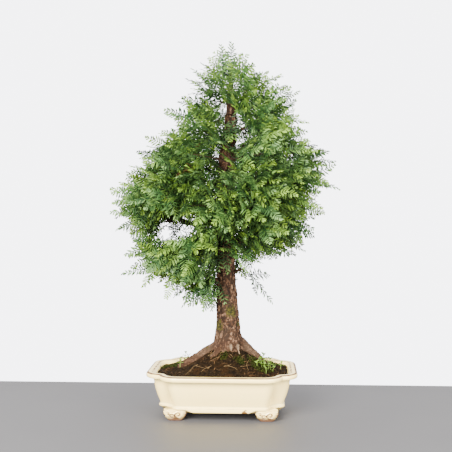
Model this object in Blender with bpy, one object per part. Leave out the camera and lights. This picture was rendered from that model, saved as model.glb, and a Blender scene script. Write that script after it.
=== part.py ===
"""Dawn redwood bonsai, grown as a formal upright, in a lobed and footed ceramic pot.

The tree's wood is one solid: trunk, surface roots and branches. Each branch tip carries a leafy spray,
a green stem with flat feathers of needles, some of which turn back into the crown. The pot holds soil,
and mesh screens cover its two drain holes.
Metres, +Z up. The origin is under the middle of the pot, on the surface that its feet stand on.
"""

import math
import random

import bmesh
import bpy
import numpy as np
from mathutils import Matrix

# Driving dimensions of the pot
POT_HALF_LENGTH = 0.1120  # body just under the lip, without the lip
POT_HALF_DEPTH = 0.0845
LOBE_RADIUS = 0.019  # rounded corners on both sides of each notch
NOTCH_RADIUS = 0.016
LOBE_TURN = math.radians(75)
POT_HEIGHT = 0.075
FOOT_HEIGHT = 0.014
FLOOR_TOP = 0.021
LIP_OUT = 0.013
# The body's outside, from the floor's underside up to the lip: offset from the outline, height
OUTER_WALL = (
    (-0.0095, FOOT_HEIGHT),
    (-0.0088, 0.0220),
    (-0.0108, 0.0240),
    (-0.0055, 0.0375),
    (-0.0014, 0.0520),
    (0.0, 0.0635),
    (LIP_OUT - 0.0015, 0.0670),
    (LIP_OUT, 0.0700),
    (LIP_OUT - 0.0015, POT_HEIGHT),
    (0.0010, POT_HEIGHT - 0.0005),
)
# Its inside, from the lip's inner edge down to the floor's top
INNER_WALL = ((-0.0035, 0.0680), (-0.0072, 0.0560), (-0.0155, FLOOR_TOP))
DRAIN_RADIUS = 0.008
DRAIN_X = 0.058
SCREEN_SIDE, SCREEN_THICK = 0.027, 0.0012
SCREEN_CELLS = 5
FOOT_X, FOOT_Y = 0.074, 0.0605
FOOT_HALF_LENGTH, FOOT_HALF_DEPTH = 0.0185, 0.0145
FOOT_SUNK = 0.002  # how far a foot runs up into the floor
FOOT_SCALLOP = 0.09
FOOT_BOXINESS = 0.75  # below 1, the foot is squarer than an ellipse

# Driving dimensions of the soil
SOIL_EDGE = 0.0690  # height of the soil where it meets the wall
MOUND_RISE, MOUND_SPREAD = 0.046, 0.057
MOUND_TOP = 0.018  # radius of the level patch that the trunk stands in
LONG_SIDE = 0.030
GAP = 0.0003  # between pieces that touch
# Seedlings in the soil: the stem's radius, and how deep and how high it runs
WEEDS = (
    {"name": "weed_right", "place": (0.071, -0.030), "stem": 0.0012, "depth": 0.006, "height": 0.020},
    {"name": "weed_left", "place": (-0.071, 0.046), "stem": 0.0010, "depth": 0.005, "height": 0.013},
)
WEED_LEAF = 0.0105
WEED_LEAF_STEP = 0.0055  # between its pairs of leaves
WEED_TURN = math.radians(78)

# Driving dimensions of the trunk: height, middle's X, radius
TRUNK = (
    (0.045, 0.009, 0.034),
    (0.098, 0.009, 0.031),
    (0.116, 0.009, 0.0250),
    (0.132, 0.009, 0.0215),
    (0.160, 0.008, 0.0190),
    (0.205, 0.006, 0.0175),
    (0.255, 0.004, 0.0158),
    (0.430, 0.0065, 0.0140),
    (0.500, 0.014, 0.0100),
    (0.540, 0.014, 0.0062),
    (0.572, 0.013, 0.0024),
)
TRUNK_SIDES = 14
BARK_RELIEF = 0.10
BARK_RINGS = (0.045, 0.098, 0.116, 0.132, 0.155, 0.185, 0.220, 0.260, 0.310)
BARK_RINGS += (0.360, 0.410, 0.455, 0.495, 0.525, 0.550, 0.572)
# Surface roots: direction, reach from the trunk's middle, height of the shoulder, thickness
ROOTS = (
    (178, 0.086, 0.116, 0.0140),
    (4, 0.070, 0.131, 0.0135),
    (60, 0.066, 0.118, 0.0110),
    (122, 0.070, 0.118, 0.0120),
    (-60, 0.048, 0.121, 0.0085),
    (-132, 0.062, 0.118, 0.0110),
    (-88, 0.042, 0.120, 0.0065),
)
# A root along its way: share of its reach, share of its thickness
ROOT_TAPER = ((0.10, 1.12), (0.40, 1.0), (0.70, 0.76), (1.0, 0.52), (1.16, 0.34))
ROOT_GROUND = 0.0715  # height that a root has come down to at its full reach
ROOT_DIVE = 0.055  # how steeply its end goes under

# Driving dimensions of the crown: height, middle's X, half width seen from the front
CROWN = (
    (0.200, -0.022, 0.042),
    (0.243, -0.032, 0.092),
    (0.270, -0.026, 0.134),
    (0.310, -0.010, 0.165),
    (0.360, -0.009, 0.180),
    (0.425, 0.018, 0.166),
    (0.460, 0.022, 0.132),
    (0.540, 0.022, 0.092),
    (0.582, 0.010, 0.054),
    (0.630, 0.010, 0.014),
)
CROWN_DEPTH = 0.93  # its depth as a share of its width
CROWN_FORWARD = 0.003  # how far it leans to the front
PRIMARY_COUNT = 24
LOWEST_BRANCH, HIGHEST_BRANCH = 0.214, 0.548
GOLDEN_ANGLE = math.radians(137.5)
FIRST_BRANCH = math.radians(196)
LOW_RISE, HIGH_RISE = math.radians(24), math.radians(42)
BRANCH_LEVELS_OFF = 0.30  # share of its rise that it loses
BRANCH_SWAY = 0.022
BRANCH_TIP, TWIG_FOOT, TWIG_TIP = 0.0013, 0.0021, 0.0012  # radii
LONG_BRANCH, MIDDLE_BRANCH = 0.150, 0.100  # reach from which it forks twice, or once
FORK_TURN = math.radians(52)
SPRAY_LENGTH = 0.072
SPRAY_HOLD = 0.056  # how much of the crown's reach the wood leaves to the spray
APEX_SHARE = 0.74  # of the spray's length, at the top of the trunk
SIDE_FEATHER = 0.046
SIDE_TURN = math.radians(54)
BARE_STEM, BARE_SIDE = 0.021, 0.006  # stretches without needles at a feather's foot
SIDE_FORK = 0.013  # where the side feathers leave the stem
INNER_COUNT = 31  # feathers that turn back into the crown
INNER_FEATHER, BARE_INNER = 0.052, 0.014
INNER_TURN = (math.radians(85), math.radians(135))  # between one and its stem
INNER_REACH = 0.75  # how far out it may end, as a share of the crown's reach
INNER_TRIES = 30  # for each stem
NEEDLE = 0.0140
NEEDLE_LEAN = math.radians(62)  # between a needle and its rib
LAST_NEEDLE = 0.0065  # runs on from the rib's end
TOOTH_PITCH = 0.0095
CHECK_STEP = 0.0074  # between the places at which a feather is held against its neighbours
RIB_RADIUS, STEM_RADIUS = 0.00095, 0.00120
RIB_FOOT, RIB_TAPER = 1.15, 0.5  # shares of the rib's radius at its foot, and lost by its end
CLEARANCE = 0.0076
SEED = 21


def material(name, colour, roughness):
    """A plain finish with the part's own colour."""
    made = bpy.data.materials.new(name)
    made.use_nodes = True
    shader = made.node_tree.nodes["Principled BSDF"]
    shader.inputs["Base Color"].default_value = (*colour, 1)
    shader.inputs["Roughness"].default_value = roughness
    shader.inputs["Metallic"].default_value = 0
    return made


def solid(name, points, faces, finish):
    """A closed body from points and faces, shaded smooth but for its sharp edges."""
    mesh = bpy.data.meshes.new(name)
    mesh.from_pydata([tuple(p) for p in points], [], faces)
    mesh.materials.append(finish)
    mesh.shade_smooth()
    mesh.set_sharp_from_angle(angle=math.radians(40))
    made = bpy.data.objects.new(name, mesh)
    bpy.context.scene.collection.objects.link(made)
    return made


def loft(rings):
    """Points and faces of a skin through rings of equal count, closed at both ends."""
    count = len(rings[0])
    points = [p for ring in rings for p in ring]
    faces = [tuple(reversed(range(count)))]
    for low in range(0, (len(rings) - 1) * count, count):
        for i in range(count):
            j = (i + 1) % count
            faces.append((low + i, low + j, low + count + j))
            faces.append((low + i, low + count + j, low + count + i))
    faces.append(tuple(range(len(points) - count, len(points))))
    return points, faces


def combine(main, others, operation):
    """Joins the others to main, or cuts them from it, and removes them."""
    group = bpy.data.collections.new("helpers")
    bpy.context.scene.collection.children.link(group)
    for other in others:
        bpy.context.scene.collection.objects.unlink(other)
        group.objects.link(other)
    boolean = main.modifiers.new("join", "BOOLEAN")
    boolean.operation = operation
    boolean.operand_type = "COLLECTION"
    boolean.collection = group
    boolean.solver = "EXACT"
    bpy.context.view_layer.update()
    graph = bpy.context.evaluated_depsgraph_get()
    result = bpy.data.meshes.new_from_object(main.evaluated_get(graph))
    main.modifiers.clear()
    main.data = result
    for other in list(group.objects):
        bpy.data.objects.remove(other)
    bpy.data.collections.remove(group)
    result.shade_smooth()
    result.set_sharp_from_angle(angle=math.radians(40))


def unit(vector):
    return np.asarray(vector, float) / np.linalg.norm(vector)


def turned(vector, axis, angle):
    """The vector turned about a unit axis by the right-hand rule."""
    return (
        vector * math.cos(angle)
        + np.cross(axis, vector) * math.sin(angle)
        + axis * np.dot(axis, vector) * (1 - math.cos(angle))
    )


def tube_rings(path, radii, sides, grown=0.0):
    """Rings of a round tube along a path, without twist. Grown makes it stouter and longer."""
    path = [np.asarray(p, float) for p in path]
    last = len(path) - 1
    side = None
    rings = []
    for i, point in enumerate(path):
        along = unit(path[min(i + 1, last)] - path[max(i - 1, 0)])
        if side is None:
            side = np.cross(along, (0, 0, 1)) if abs(along[2]) < 0.9 else np.array((1.0, 0, 0))
        side = unit(side - along * np.dot(side, along))
        up = np.cross(along, side)
        middle = point + along * grown * ((i == last) - (i == 0))
        angles = (2 * math.pi * k / sides for k in range(sides))
        reach = radii[i] + grown
        rings.append([middle + reach * (side * math.cos(a) + up * math.sin(a)) for a in angles])
    return rings


# The pot


def pot_outline(offset, steps=(3, 2, 3)):
    """The lobed outline, offset outwards, counter-clockwise from the middle of the front."""
    turn, notch = LOBE_TURN, 2 * LOBE_TURN - math.pi / 2
    reach = LOBE_RADIUS * (math.sin(turn) + 1 - math.cos(turn))
    reach += NOTCH_RADIUS * (math.sin(turn) - math.cos(turn))
    at = np.array((POT_HALF_LENGTH - reach, -POT_HALF_DEPTH))
    heading = 0.0
    quarter = [(at, heading)]
    arcs = ((LOBE_RADIUS, turn), (-NOTCH_RADIUS, -notch), (LOBE_RADIUS, turn))
    for (radius, angle), count in zip(arcs, steps):
        for _ in range(count):
            after = heading + angle / count
            chord = (math.sin(after) - math.sin(heading), math.cos(heading) - math.cos(after))
            at = at + radius * np.array(chord)
            heading = after
            quarter.append((at, heading))
    corner = [p + offset * np.array((math.sin(h), -math.cos(h))) for p, h in quarter]
    right = corner + [p * (1, -1) for p in reversed(corner)]
    outline = right + [-p for p in right]
    middle = np.array((0, -POT_HALF_DEPTH - offset))
    return [middle] + outline[: len(right)] + [-middle] + outline[len(right) :]


def pot_rings(profile):
    return [[(x, y, z) for x, y in pot_outline(offset)] for offset, z in profile]


def foot_rings():
    """One bracket foot, cut in three scallops outside and drawn in towards the ground."""
    rings = []
    for z, share in ((0.0, 0.62), (0.005, 0.80), (FOOT_HEIGHT + FOOT_SUNK, 1.0)):
        ring = []
        for k in range(12):
            angle = 2 * math.pi * k / 12
            scallop = share * (1 + FOOT_SCALLOP * math.cos(3 * angle + math.pi / 2))
            x, y = (math.copysign(abs(c) ** FOOT_BOXINESS, c) for c in (math.cos(angle), math.sin(angle)))
            ring.append((FOOT_HALF_LENGTH * scallop * x, FOOT_HALF_DEPTH * scallop * y, z))
        rings.append(ring)
    return rings


def build_pot(glaze):
    pot = solid("pot", *loft(pot_rings(OUTER_WALL + INNER_WALL)), glaze)
    feet = []
    for sx in (-1, 1):
        for sy in (-1, 1):
            foot = solid("foot", *loft(foot_rings()), glaze)
            foot.data.transform(placed(sx * FOOT_X, sy * FOOT_Y, 0, 0 if sy < 0 else math.pi))
            feet.append(foot)
    combine(pot, feet, "UNION")
    drains = []
    for x in (-DRAIN_X, DRAIN_X):
        ends = ((x, 0, FOOT_HEIGHT / 2), (x, 0, FLOOR_TOP + FOOT_HEIGHT / 2))
        drains.append(solid("drain", *loft(tube_rings(ends, (DRAIN_RADIUS,) * 2, 14)), glaze))
    combine(pot, drains, "DIFFERENCE")


def placed(x, y, z, turn):
    """A transform: a turn about Z, then a move."""
    return Matrix.Translation((x, y, z)) @ Matrix.Rotation(turn, 4, "Z")


def build_screen(name, x, plastic):
    """The mesh over a drain hole: a square lattice with four openings."""
    grid = bmesh.new()
    bmesh.ops.create_grid(grid, x_segments=SCREEN_CELLS, y_segments=SCREEN_CELLS, size=SCREEN_SIDE / 2)
    side = SCREEN_SIDE / SCREEN_CELLS
    openings = []
    for face in grid.faces:
        middle = face.calc_center_median()
        column, row = (round((c + SCREEN_SIDE / 2) / side - 0.5) for c in middle[:2])
        if column % 2 and row % 2:
            openings.append(face)
    bmesh.ops.delete(grid, geom=openings, context="FACES")
    lifted = bmesh.ops.extrude_face_region(grid, geom=grid.faces[:], use_keep_orig=True)
    top = [v for v in lifted["geom"] if isinstance(v, bmesh.types.BMVert)]
    bmesh.ops.translate(grid, verts=top, vec=(0, 0, SCREEN_THICK))
    bmesh.ops.recalc_face_normals(grid, faces=grid.faces[:])
    mesh = bpy.data.meshes.new(name)
    grid.to_mesh(mesh)
    grid.free()
    mesh.transform(placed(x, 0, FLOOR_TOP + GAP, 0))
    mesh.materials.append(plastic)
    made = bpy.data.objects.new(name, mesh)
    bpy.context.scene.collection.objects.link(made)
    return made


# The wood


def trunk_at(z):
    """The trunk's middle and its radius at a height."""
    heights, middles, radii = zip(*TRUNK)
    return np.array((np.interp(z, heights, middles), 0, z)), float(np.interp(z, heights, radii))


def trunk_rings(grown=0.0):
    """Rings up the trunk, with upright ridges of bark and a fluted base. Grown makes it stouter."""
    heights = (BARK_RINGS[0] - grown, *BARK_RINGS[1:])
    chance = random.Random(SEED)
    ridges = [0.5 * (-1) ** k + chance.uniform(-0.5, 0.5) for k in range(TRUNK_SIDES)]
    rings = []
    for z in heights:
        middle, radius = trunk_at(z)
        drift = [chance.uniform(-0.5, 0.5) for _ in range(TRUNK_SIDES)]
        ring = []
        for k in range(TRUNK_SIDES):
            angle = 2 * math.pi * k / TRUNK_SIDES
            relief = 1 + BARK_RELIEF * (ridges[k] + drift[k])
            reach = radius * relief + grown
            ring.append(middle + reach * np.array((math.cos(angle), math.sin(angle), 0)))
        rings.append(ring)
    return rings


def root_rings(direction, reach, shoulder, thickness, grown=0.0):
    """Rings of a root that leaves the trunk high, runs down over the soil and dives into it."""
    way = np.array((math.cos(math.radians(direction)), math.sin(math.radians(direction)), 0))
    path, radii = [], []
    for share, stout in ROOT_TAPER:
        drop = (shoulder - ROOT_GROUND) * share**0.85 + max(0, share - 0.9) * ROOT_DIVE
        path.append(trunk_at(shoulder)[0] + way * reach * share - np.array((0, 0, drop)))
        radii.append(thickness * stout)
    return tube_rings(path, radii, 6, grown)


def crown_reach(azimuth, z):
    """How far the crown reaches from the trunk at a height, in a direction."""
    heights, middles, widths = zip(*CROWN)
    middle = np.interp(z, heights, middles) - trunk_at(z)[0][0]
    depth = 1 - (1 - CROWN_DEPTH) * math.sin(azimuth) ** 2
    lean = middle * math.cos(azimuth) - CROWN_FORWARD * math.sin(azimuth)
    return lean + np.interp(z, heights, widths) * depth


def branch_path(start, azimuth, rise, length, count=4):
    """A branch that leaves at its rise, and levels off towards its tip."""
    way = np.array((math.cos(azimuth), math.sin(azimuth), 0))
    side = np.array((-way[1], way[0], 0))
    path = []
    for k in range(count):
        along = length * k / (count - 1)
        height = along * math.tan(rise) * (1 - BRANCH_LEVELS_OFF * k / (count - 1))
        sway = BRANCH_SWAY * length * math.sin(2.6 * math.pi * k / (count - 1))
        path.append(start + way * along + side * sway + np.array((0, 0, height)))
    return path


def grow_branches():
    """The woody branches as (path, radii), and their tips as (point, direction)."""
    chance = random.Random(SEED)
    branches, tips = [], []
    for i in range(PRIMARY_COUNT):
        up = i / (PRIMARY_COUNT - 1)
        z = LOWEST_BRANCH + (HIGHEST_BRANCH - LOWEST_BRANCH) * up**0.95
        azimuth = FIRST_BRANCH + i * GOLDEN_ANGLE + chance.uniform(-0.12, 0.12)
        rise = LOW_RISE + (HIGH_RISE - LOW_RISE) * up + chance.uniform(-0.06, 0.06)
        start, trunk_radius = trunk_at(z)
        reach = 0.12
        for _ in range(5):
            reach = crown_reach(azimuth, z + 0.7 * reach * math.tan(rise))
        wood = max(reach - SPRAY_HOLD, trunk_radius + 0.010)
        stout = 0.0022 + 0.030 * wood
        path = branch_path(start, azimuth, rise, wood)
        branches.append((path, np.linspace(stout, BRANCH_TIP, len(path))))
        tips.append((path[-1], unit(path[-1] - path[-2])))
        forks = (0.36, 0.66) if reach > LONG_BRANCH else (0.50,) if reach > MIDDLE_BRANCH else ()
        whole = branch_path(start, azimuth, rise, wood, 51)
        for k, share in enumerate(forks):
            side = 1 if (i + k) % 2 else -1
            leaves = whole[round(50 * share)]
            length = max(0.022, (reach - wood * share) * 0.80 - SPRAY_HOLD)
            turn = azimuth + side * FORK_TURN + chance.uniform(-0.1, 0.1)
            twig = branch_path(leaves, turn, rise * 0.7 + chance.uniform(-0.3, 0.2), length, 3)
            branches.append((twig, np.linspace(TWIG_FOOT, TWIG_TIP, len(twig))))
            tips.append((twig[-1], unit(twig[-1] - twig[-2])))
    top = trunk_at(TRUNK[-1][0])[0]
    tips.append((top, np.array((0.0, 0, 1))))
    return branches, tips


# The leafy sprays


def needle_length(share):
    """A needle's length by its place along the feather: shorter at the foot, shortest at the tip."""
    return NEEDLE * (0.72 + 0.75 * share - 1.15 * share**2)


def feather(root, along, up, length, bare, bend):
    """A feather: where it starts, which way it runs and faces, and how far it bends down."""
    up = unit(up - along * np.dot(up, along))
    return {"root": root, "along": along, "up": up, "length": length, "bare": bare, "bend": bend}


def rib_point(leaf, distance):
    """A point of the feather's rib, which arches over towards its tip."""
    drop = leaf["bend"] * distance**2 / leaf["length"]
    return leaf["root"] + leaf["along"] * distance - leaf["up"] * drop


def needle_tip(leaf, distance, side, part=1.0):
    """The tip of the needle that leaves the rib at a distance, or a point part of the way to it."""
    long = needle_length(distance / leaf["length"]) * part
    across = np.cross(leaf["up"], leaf["along"]) * side
    out = along_rib(leaf, distance) * math.cos(NEEDLE_LEAN) + across * math.sin(NEEDLE_LEAN)
    return rib_point(leaf, distance) + long * out - leaf["up"] * 0.10 * long


def along_rib(leaf, distance):
    return unit(leaf["along"] - leaf["up"] * 2 * leaf["bend"] * distance / leaf["length"])


def tooth_stations(leaf):
    """Where the coarse needles' roots begin along the rib."""
    count = round((leaf["length"] - leaf["bare"]) / TOOTH_PITCH)
    return np.linspace(leaf["bare"], leaf["length"], count + 1)


def feather_solid(leaf, finish, radius=RIB_RADIUS):
    """One closed body: a three-sided rib whose upper sides are drawn out into flat needles."""
    across = np.cross(leaf["up"], leaf["along"])
    stations = [0.0, *tooth_stations(leaf)]
    points, faces = [], [(2, 1, 0)]
    for distance in stations:
        stout = radius * (RIB_FOOT - RIB_TAPER * distance / leaf["length"])
        middle = rib_point(leaf, distance)
        points += [middle + across * stout, middle + leaf["up"] * stout, middle - across * stout]
    for i in range(len(stations) - 1):
        a, b = 3 * i, 3 * i + 3
        faces.append((a + 2, a, b, b + 2))
        for near, side in ((0, 1), (1, -1)):
            slope = (a + near, a + near + 1, b + near + 1, b + near)
            if i == 0:
                faces.append(slope)
                continue
            tip = len(points)
            points.append(needle_tip(leaf, (stations[i] + stations[i + 1]) / 2, side))
            faces += [(slope[k], slope[(k + 1) % 4], tip) for k in range(4)]
    end, tip = 3 * (len(stations) - 1), len(points)
    points.append(rib_point(leaf, leaf["length"]) + along_rib(leaf, leaf["length"]) * LAST_NEEDLE)
    faces += [(end + k, end + (k + 1) % 3, tip) for k in range(3)]
    return solid("feather", points, faces, finish)


def sample(leaf):
    """Points over a feather, close enough together to tell whether another crosses it."""
    found = [rib_point(leaf, 0.5 * leaf["bare"])]
    count = round((leaf["length"] - leaf["bare"]) / CHECK_STEP)
    for distance in np.linspace(leaf["bare"], leaf["length"], count + 1):
        found.append(rib_point(leaf, distance))
        found += [needle_tip(leaf, distance, side, part) for side in (-1, 1) for part in (0.5, 1.0)]
    return np.array(found)


def spray_of(tip, way, chance, attempt):
    """A spray's feathers: one that ends the stem, and a pair that leaves it near its foot."""
    size = 1 - 0.012 * attempt
    droop = float(np.interp(tip[2], (0.25, 0.45, 0.55), (0.65, 0.20, -0.15)))
    pitch, yaw, roll = (chance.uniform(-reach, reach) for reach in (0.35, 0.25, 0.85))
    side = np.cross(way, (0, 0, 1))
    if np.linalg.norm(side) < 0.1:
        side, pitch, droop, roll, size = np.array((1.0, 0, 0)), 0, 0, 0.2 * roll, size * APEX_SHARE
    side = unit(side)
    along = turned(turned(way, side, pitch - droop), np.array((0.0, 0, 1)), yaw)
    side = unit(side - along * np.dot(side, along))
    up = turned(np.cross(side, along), along, roll)
    across = np.cross(up, along)
    back = max(-np.dot(way, corner) for corner in (across, up, -across)) * STEM_RADIUS * RIB_FOOT
    root = tip + way * (GAP + back)
    leaves = [feather(root, along, up, SPRAY_LENGTH * size, BARE_STEM, chance.uniform(0.02, 0.14))]
    fork = rib_point(leaves[0], SIDE_FORK)
    for hand in (-1, 1):
        out = along * math.cos(SIDE_TURN) + across * hand * math.sin(SIDE_TURN)
        out = unit(out + leaves[0]["up"] * chance.uniform(-0.10, 0.30))
        lean = turned(leaves[0]["up"], out, chance.uniform(-0.35, 0.35))
        bend = chance.uniform(0.02, 0.16)
        leaves.append(feather(fork, out, lean, SIDE_FEATHER * size, BARE_SIDE, bend))
    return leaves


def wood_samples(branches):
    """Points along the branches and the trunk, and how far off each a feather stays."""
    wood = []
    for path, radii in branches:
        for k in range(len(path) - 1):
            steps = max(2, math.ceil(np.linalg.norm(path[k + 1] - path[k]) / 0.005))
            for s in np.linspace(0, 1, steps, endpoint=False):
                wood.append((path[k] * (1 - s) + path[k + 1] * s, radii[k]))
    for z in np.arange(0.20, TRUNK[-1][0], 0.006):
        wood.append(trunk_at(z))
    return np.array([p for p, _ in wood]), np.array([r for _, r in wood]) + 0.6 * CLEARANCE


def distances(points, others):
    return np.linalg.norm(points[:, None] - others[None], axis=2)


def grow_sprays(wood_points, wood_reach, tips):
    """The sprays' feathers, each bent clear of the wood and of the sprays before it."""
    chance = random.Random(SEED + 1)
    taken = np.empty((0, 3))
    sprays = []
    for tip, way in tips:
        near = np.linalg.norm(wood_points - tip, axis=1) < 0.014
        for attempt in range(40):
            leaves = spray_of(tip, way, chance, attempt)
            points = np.concatenate([sample(leaf) for leaf in leaves])
            to_wood = (distances(points, wood_points[~near]) - wood_reach[~near]).min()
            to_leaf = distances(points, taken).min() if len(taken) else 1
            if to_wood > 0 and to_leaf > CLEARANCE:
                break
        else:
            print("no clear place for the spray at", np.round(tip, 3))
        sprays.append(leaves)
        taken = np.concatenate([taken, points])
    return sprays


def inner_feather(stem, chance):
    """A feather that leaves a stem at its fork and turns back, towards the trunk."""
    aside = turned(stem["up"], stem["along"], chance.uniform(0, 2 * math.pi))
    angle = chance.uniform(*INNER_TURN)
    out = stem["along"] * math.cos(angle) + aside * math.sin(angle)
    up = turned(np.array((0.0, 0, 1)) + 0.3 * stem["along"], out, chance.uniform(-0.8, 0.8))
    root = rib_point(stem, SIDE_FORK)
    return feather(root, out, up, INNER_FEATHER, BARE_INNER, chance.uniform(0.02, 0.16))


def add_inner_feathers(sprays, wood_points, wood_reach):
    """Feathers inside the crown, one after another where it is barest."""
    chance = random.Random(SEED + 3)
    taken = np.concatenate([sample(leaf) for leaves in sprays for leaf in leaves])
    found = []
    for leaves in sprays:
        for _ in range(INNER_TRIES):
            leaf = inner_feather(leaves[0], chance)
            points = sample(leaf)
            end = points[-1] - trunk_at(points[-1][2])[0]
            edge = crown_reach(math.atan2(end[1], end[0]), points[-1][2])
            inside = math.hypot(*end[:2]) < INNER_REACH * edge
            if inside and (distances(points, wood_points) - wood_reach).min() > 0:
                found.append((leaves, leaf, points, distances(points, taken).min(axis=1)))
    for _ in range(INNER_COUNT):
        found = [one for one in found if one[3][0] > 0.5 * CLEARANCE and one[3][1:].min() > CLEARANCE]
        leaves, leaf, points, _ = max(found, key=lambda one: one[3].mean())
        leaves.append(leaf)
        found = [(*one[:3], np.minimum(one[3], distances(one[2], points).min(axis=1))) for one in found]


def build_tree(bark, branches):
    trunk = solid("tree_wood", *loft(trunk_rings()), bark)
    parts = [solid("root", *loft(root_rings(*root)), bark) for root in ROOTS]
    for path, radii in branches:
        sides = 4 if len(path) > 3 else 3
        parts.append(solid("branch", *loft(tube_rings(path, radii, sides)), bark))
    combine(trunk, parts, "UNION")


def build_spray(name, leaves, leaf_green):
    stem = feather_solid(leaves[0], leaf_green, STEM_RADIUS)
    stem.name = name
    combine(stem, [feather_solid(leaf, leaf_green) for leaf in leaves[1:]], "UNION")


# The soil and what grows in it


def soil_height(x, y):
    """The soil's surface: level at the wall, and mounded over the roots round the trunk."""
    distance = math.hypot(x - trunk_at(0.1)[0][0], y)
    ripple = 0.0011 * math.sin(71 * x + 2) * math.cos(83 * y) + 0.0007 * math.sin(190 * (x + y))
    return SOIL_EDGE + MOUND_RISE * math.exp(-((distance / MOUND_SPREAD) ** 2)) + ripple


def soil_rings():
    sides = [(offset - GAP, z) for offset, z in reversed(INNER_WALL)]
    sides[0] = (sides[0][0], FLOOR_TOP + GAP)
    rings = pot_rings(sides)
    rings = [split_long_sides(ring) for ring in rings]
    centre = trunk_at(0.1)[0][:2]
    edge = [np.array(p[:2]) - centre for p in rings[-1]]
    for share in (0.20, 0.42, 0.66, 1.0):
        ring = [centre + p * (1 - share) + p / np.linalg.norm(p) * MOUND_TOP * share for p in edge]
        rings.append([(x, y, soil_height(x, y)) for x, y in ring])
    return rings


def split_long_sides(ring):
    """The ring with two more points on each of its long straight sides."""
    found = []
    for here, after in zip(ring, ring[1:] + ring[:1]):
        here, after = np.array(here), np.array(after)
        pieces = 3 if np.linalg.norm(after - here) > LONG_SIDE else 1
        found += [here + (after - here) * k / pieces for k in range(pieces)]
    return found


def build_soil(earth, weeds):
    soil = solid("soil", *loft(soil_rings()), earth)
    cutters = [solid("hole", *loft(trunk_rings(GAP)), earth)]
    cutters += [solid("hole", *loft(root_rings(*root, GAP)), earth) for root in ROOTS]
    room = SCREEN_SIDE / 2 + GAP
    for x in (-DRAIN_X, DRAIN_X):
        corners = ((x - room, -room), (x + room, -room), (x + room, room), (x - room, room))
        heights = (FLOOR_TOP - 0.002, FLOOR_TOP + 2 * GAP + SCREEN_THICK)
        cutters.append(solid("recess", *loft([[(*c, z) for c in corners] for z in heights]), earth))
    for weed in weeds:
        x, y = weed["place"]
        z = soil_height(x, y)
        path = ((x, y, z - weed["depth"] - GAP), (x, y, z + 0.01))
        cutters.append(solid("hole", *loft(tube_rings(path, (weed["stem"] + GAP,) * 2, 4)), earth))
    combine(soil, cutters, "DIFFERENCE")


def build_weed(weed, leaf_green):
    """A seedling: a stem in its hole in the soil, with crossed pairs of pointed leaves."""
    x, y = weed["place"]
    foot = np.array((x, y, soil_height(x, y)))
    up = np.array((0, 0, 1.0))
    path = [foot - up * weed["depth"], foot + up * weed["height"]]
    stem = solid(weed["name"], *loft(tube_rings(path, (weed["stem"], weed["stem"] * 0.7), 4)), leaf_green)
    blades = []
    for level in range(1, 1 + int(weed["height"] / WEED_LEAF_STEP)):
        for half in (0, math.pi):
            azimuth = half + level * WEED_TURN
            height = level * WEED_LEAF_STEP
            out = np.array((math.cos(azimuth), math.sin(azimuth), 0.35 + 25 * height))
            blades.append(weed_leaf(foot + up * height, unit(out), WEED_LEAF, leaf_green))
    combine(stem, blades, "UNION")


def weed_leaf(root, out, length, finish):
    """A pointed leaf, thickest at its midrib."""
    across = unit(np.cross(out, (0, 0, 1)))
    up = np.cross(across, out)
    rings = []
    for share, half in ((0.0, 0.0006), (0.5, 0.0024)):
        middle = root + out * length * share + up * 0.0012 * math.sin(math.pi * share)
        rings.append([middle + across * half, middle + up * 0.0008, middle - across * half])
    points, faces = loft(rings)
    points.append(root + out * length)
    faces = faces[:-1] + [(3 + k, 3 + (k + 1) % 3, 6) for k in range(3)]
    return facing_out(solid("leaf", points, faces, finish))


def facing_out(made):
    """Turns a closed body's faces outwards."""
    work = bmesh.new()
    work.from_mesh(made.data)
    bmesh.ops.recalc_face_normals(work, faces=work.faces[:])
    work.to_mesh(made.data)
    work.free()
    return made


def build():
    for leftover in list(bpy.data.objects):
        bpy.data.objects.remove(leftover)
    glaze = material("cream_glaze", (0.86, 0.79, 0.66), 0.25)
    bark = material("red_brown_bark", (0.23, 0.13, 0.085), 0.9)
    earth = material("dark_soil", (0.055, 0.035, 0.02), 0.95)
    leaf_green = material("needle_green", (0.11, 0.22, 0.045), 0.6)
    weed_green = material("weed_green", (0.28, 0.42, 0.08), 0.6)
    plastic = material("screen_plastic", (0.03, 0.05, 0.035), 0.5)
    build_pot(glaze)
    build_screen("drain_screen_left", -DRAIN_X, plastic)
    build_screen("drain_screen_right", DRAIN_X, plastic)
    build_soil(earth, WEEDS)
    for weed in WEEDS:
        build_weed(weed, weed_green)
    branches, tips = grow_branches()
    build_tree(bark, branches)
    wood = wood_samples(branches)
    sprays = grow_sprays(*wood, tips)
    add_inner_feathers(sprays, *wood)
    for number, leaves in enumerate(sprays, 1):
        build_spray(f"spray_{number:02d}", leaves, leaf_green)


build()
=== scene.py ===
import math
import random

import bmesh
import bpy
import numpy as np
from mathutils import Matrix, Vector, kdtree, noise


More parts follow.
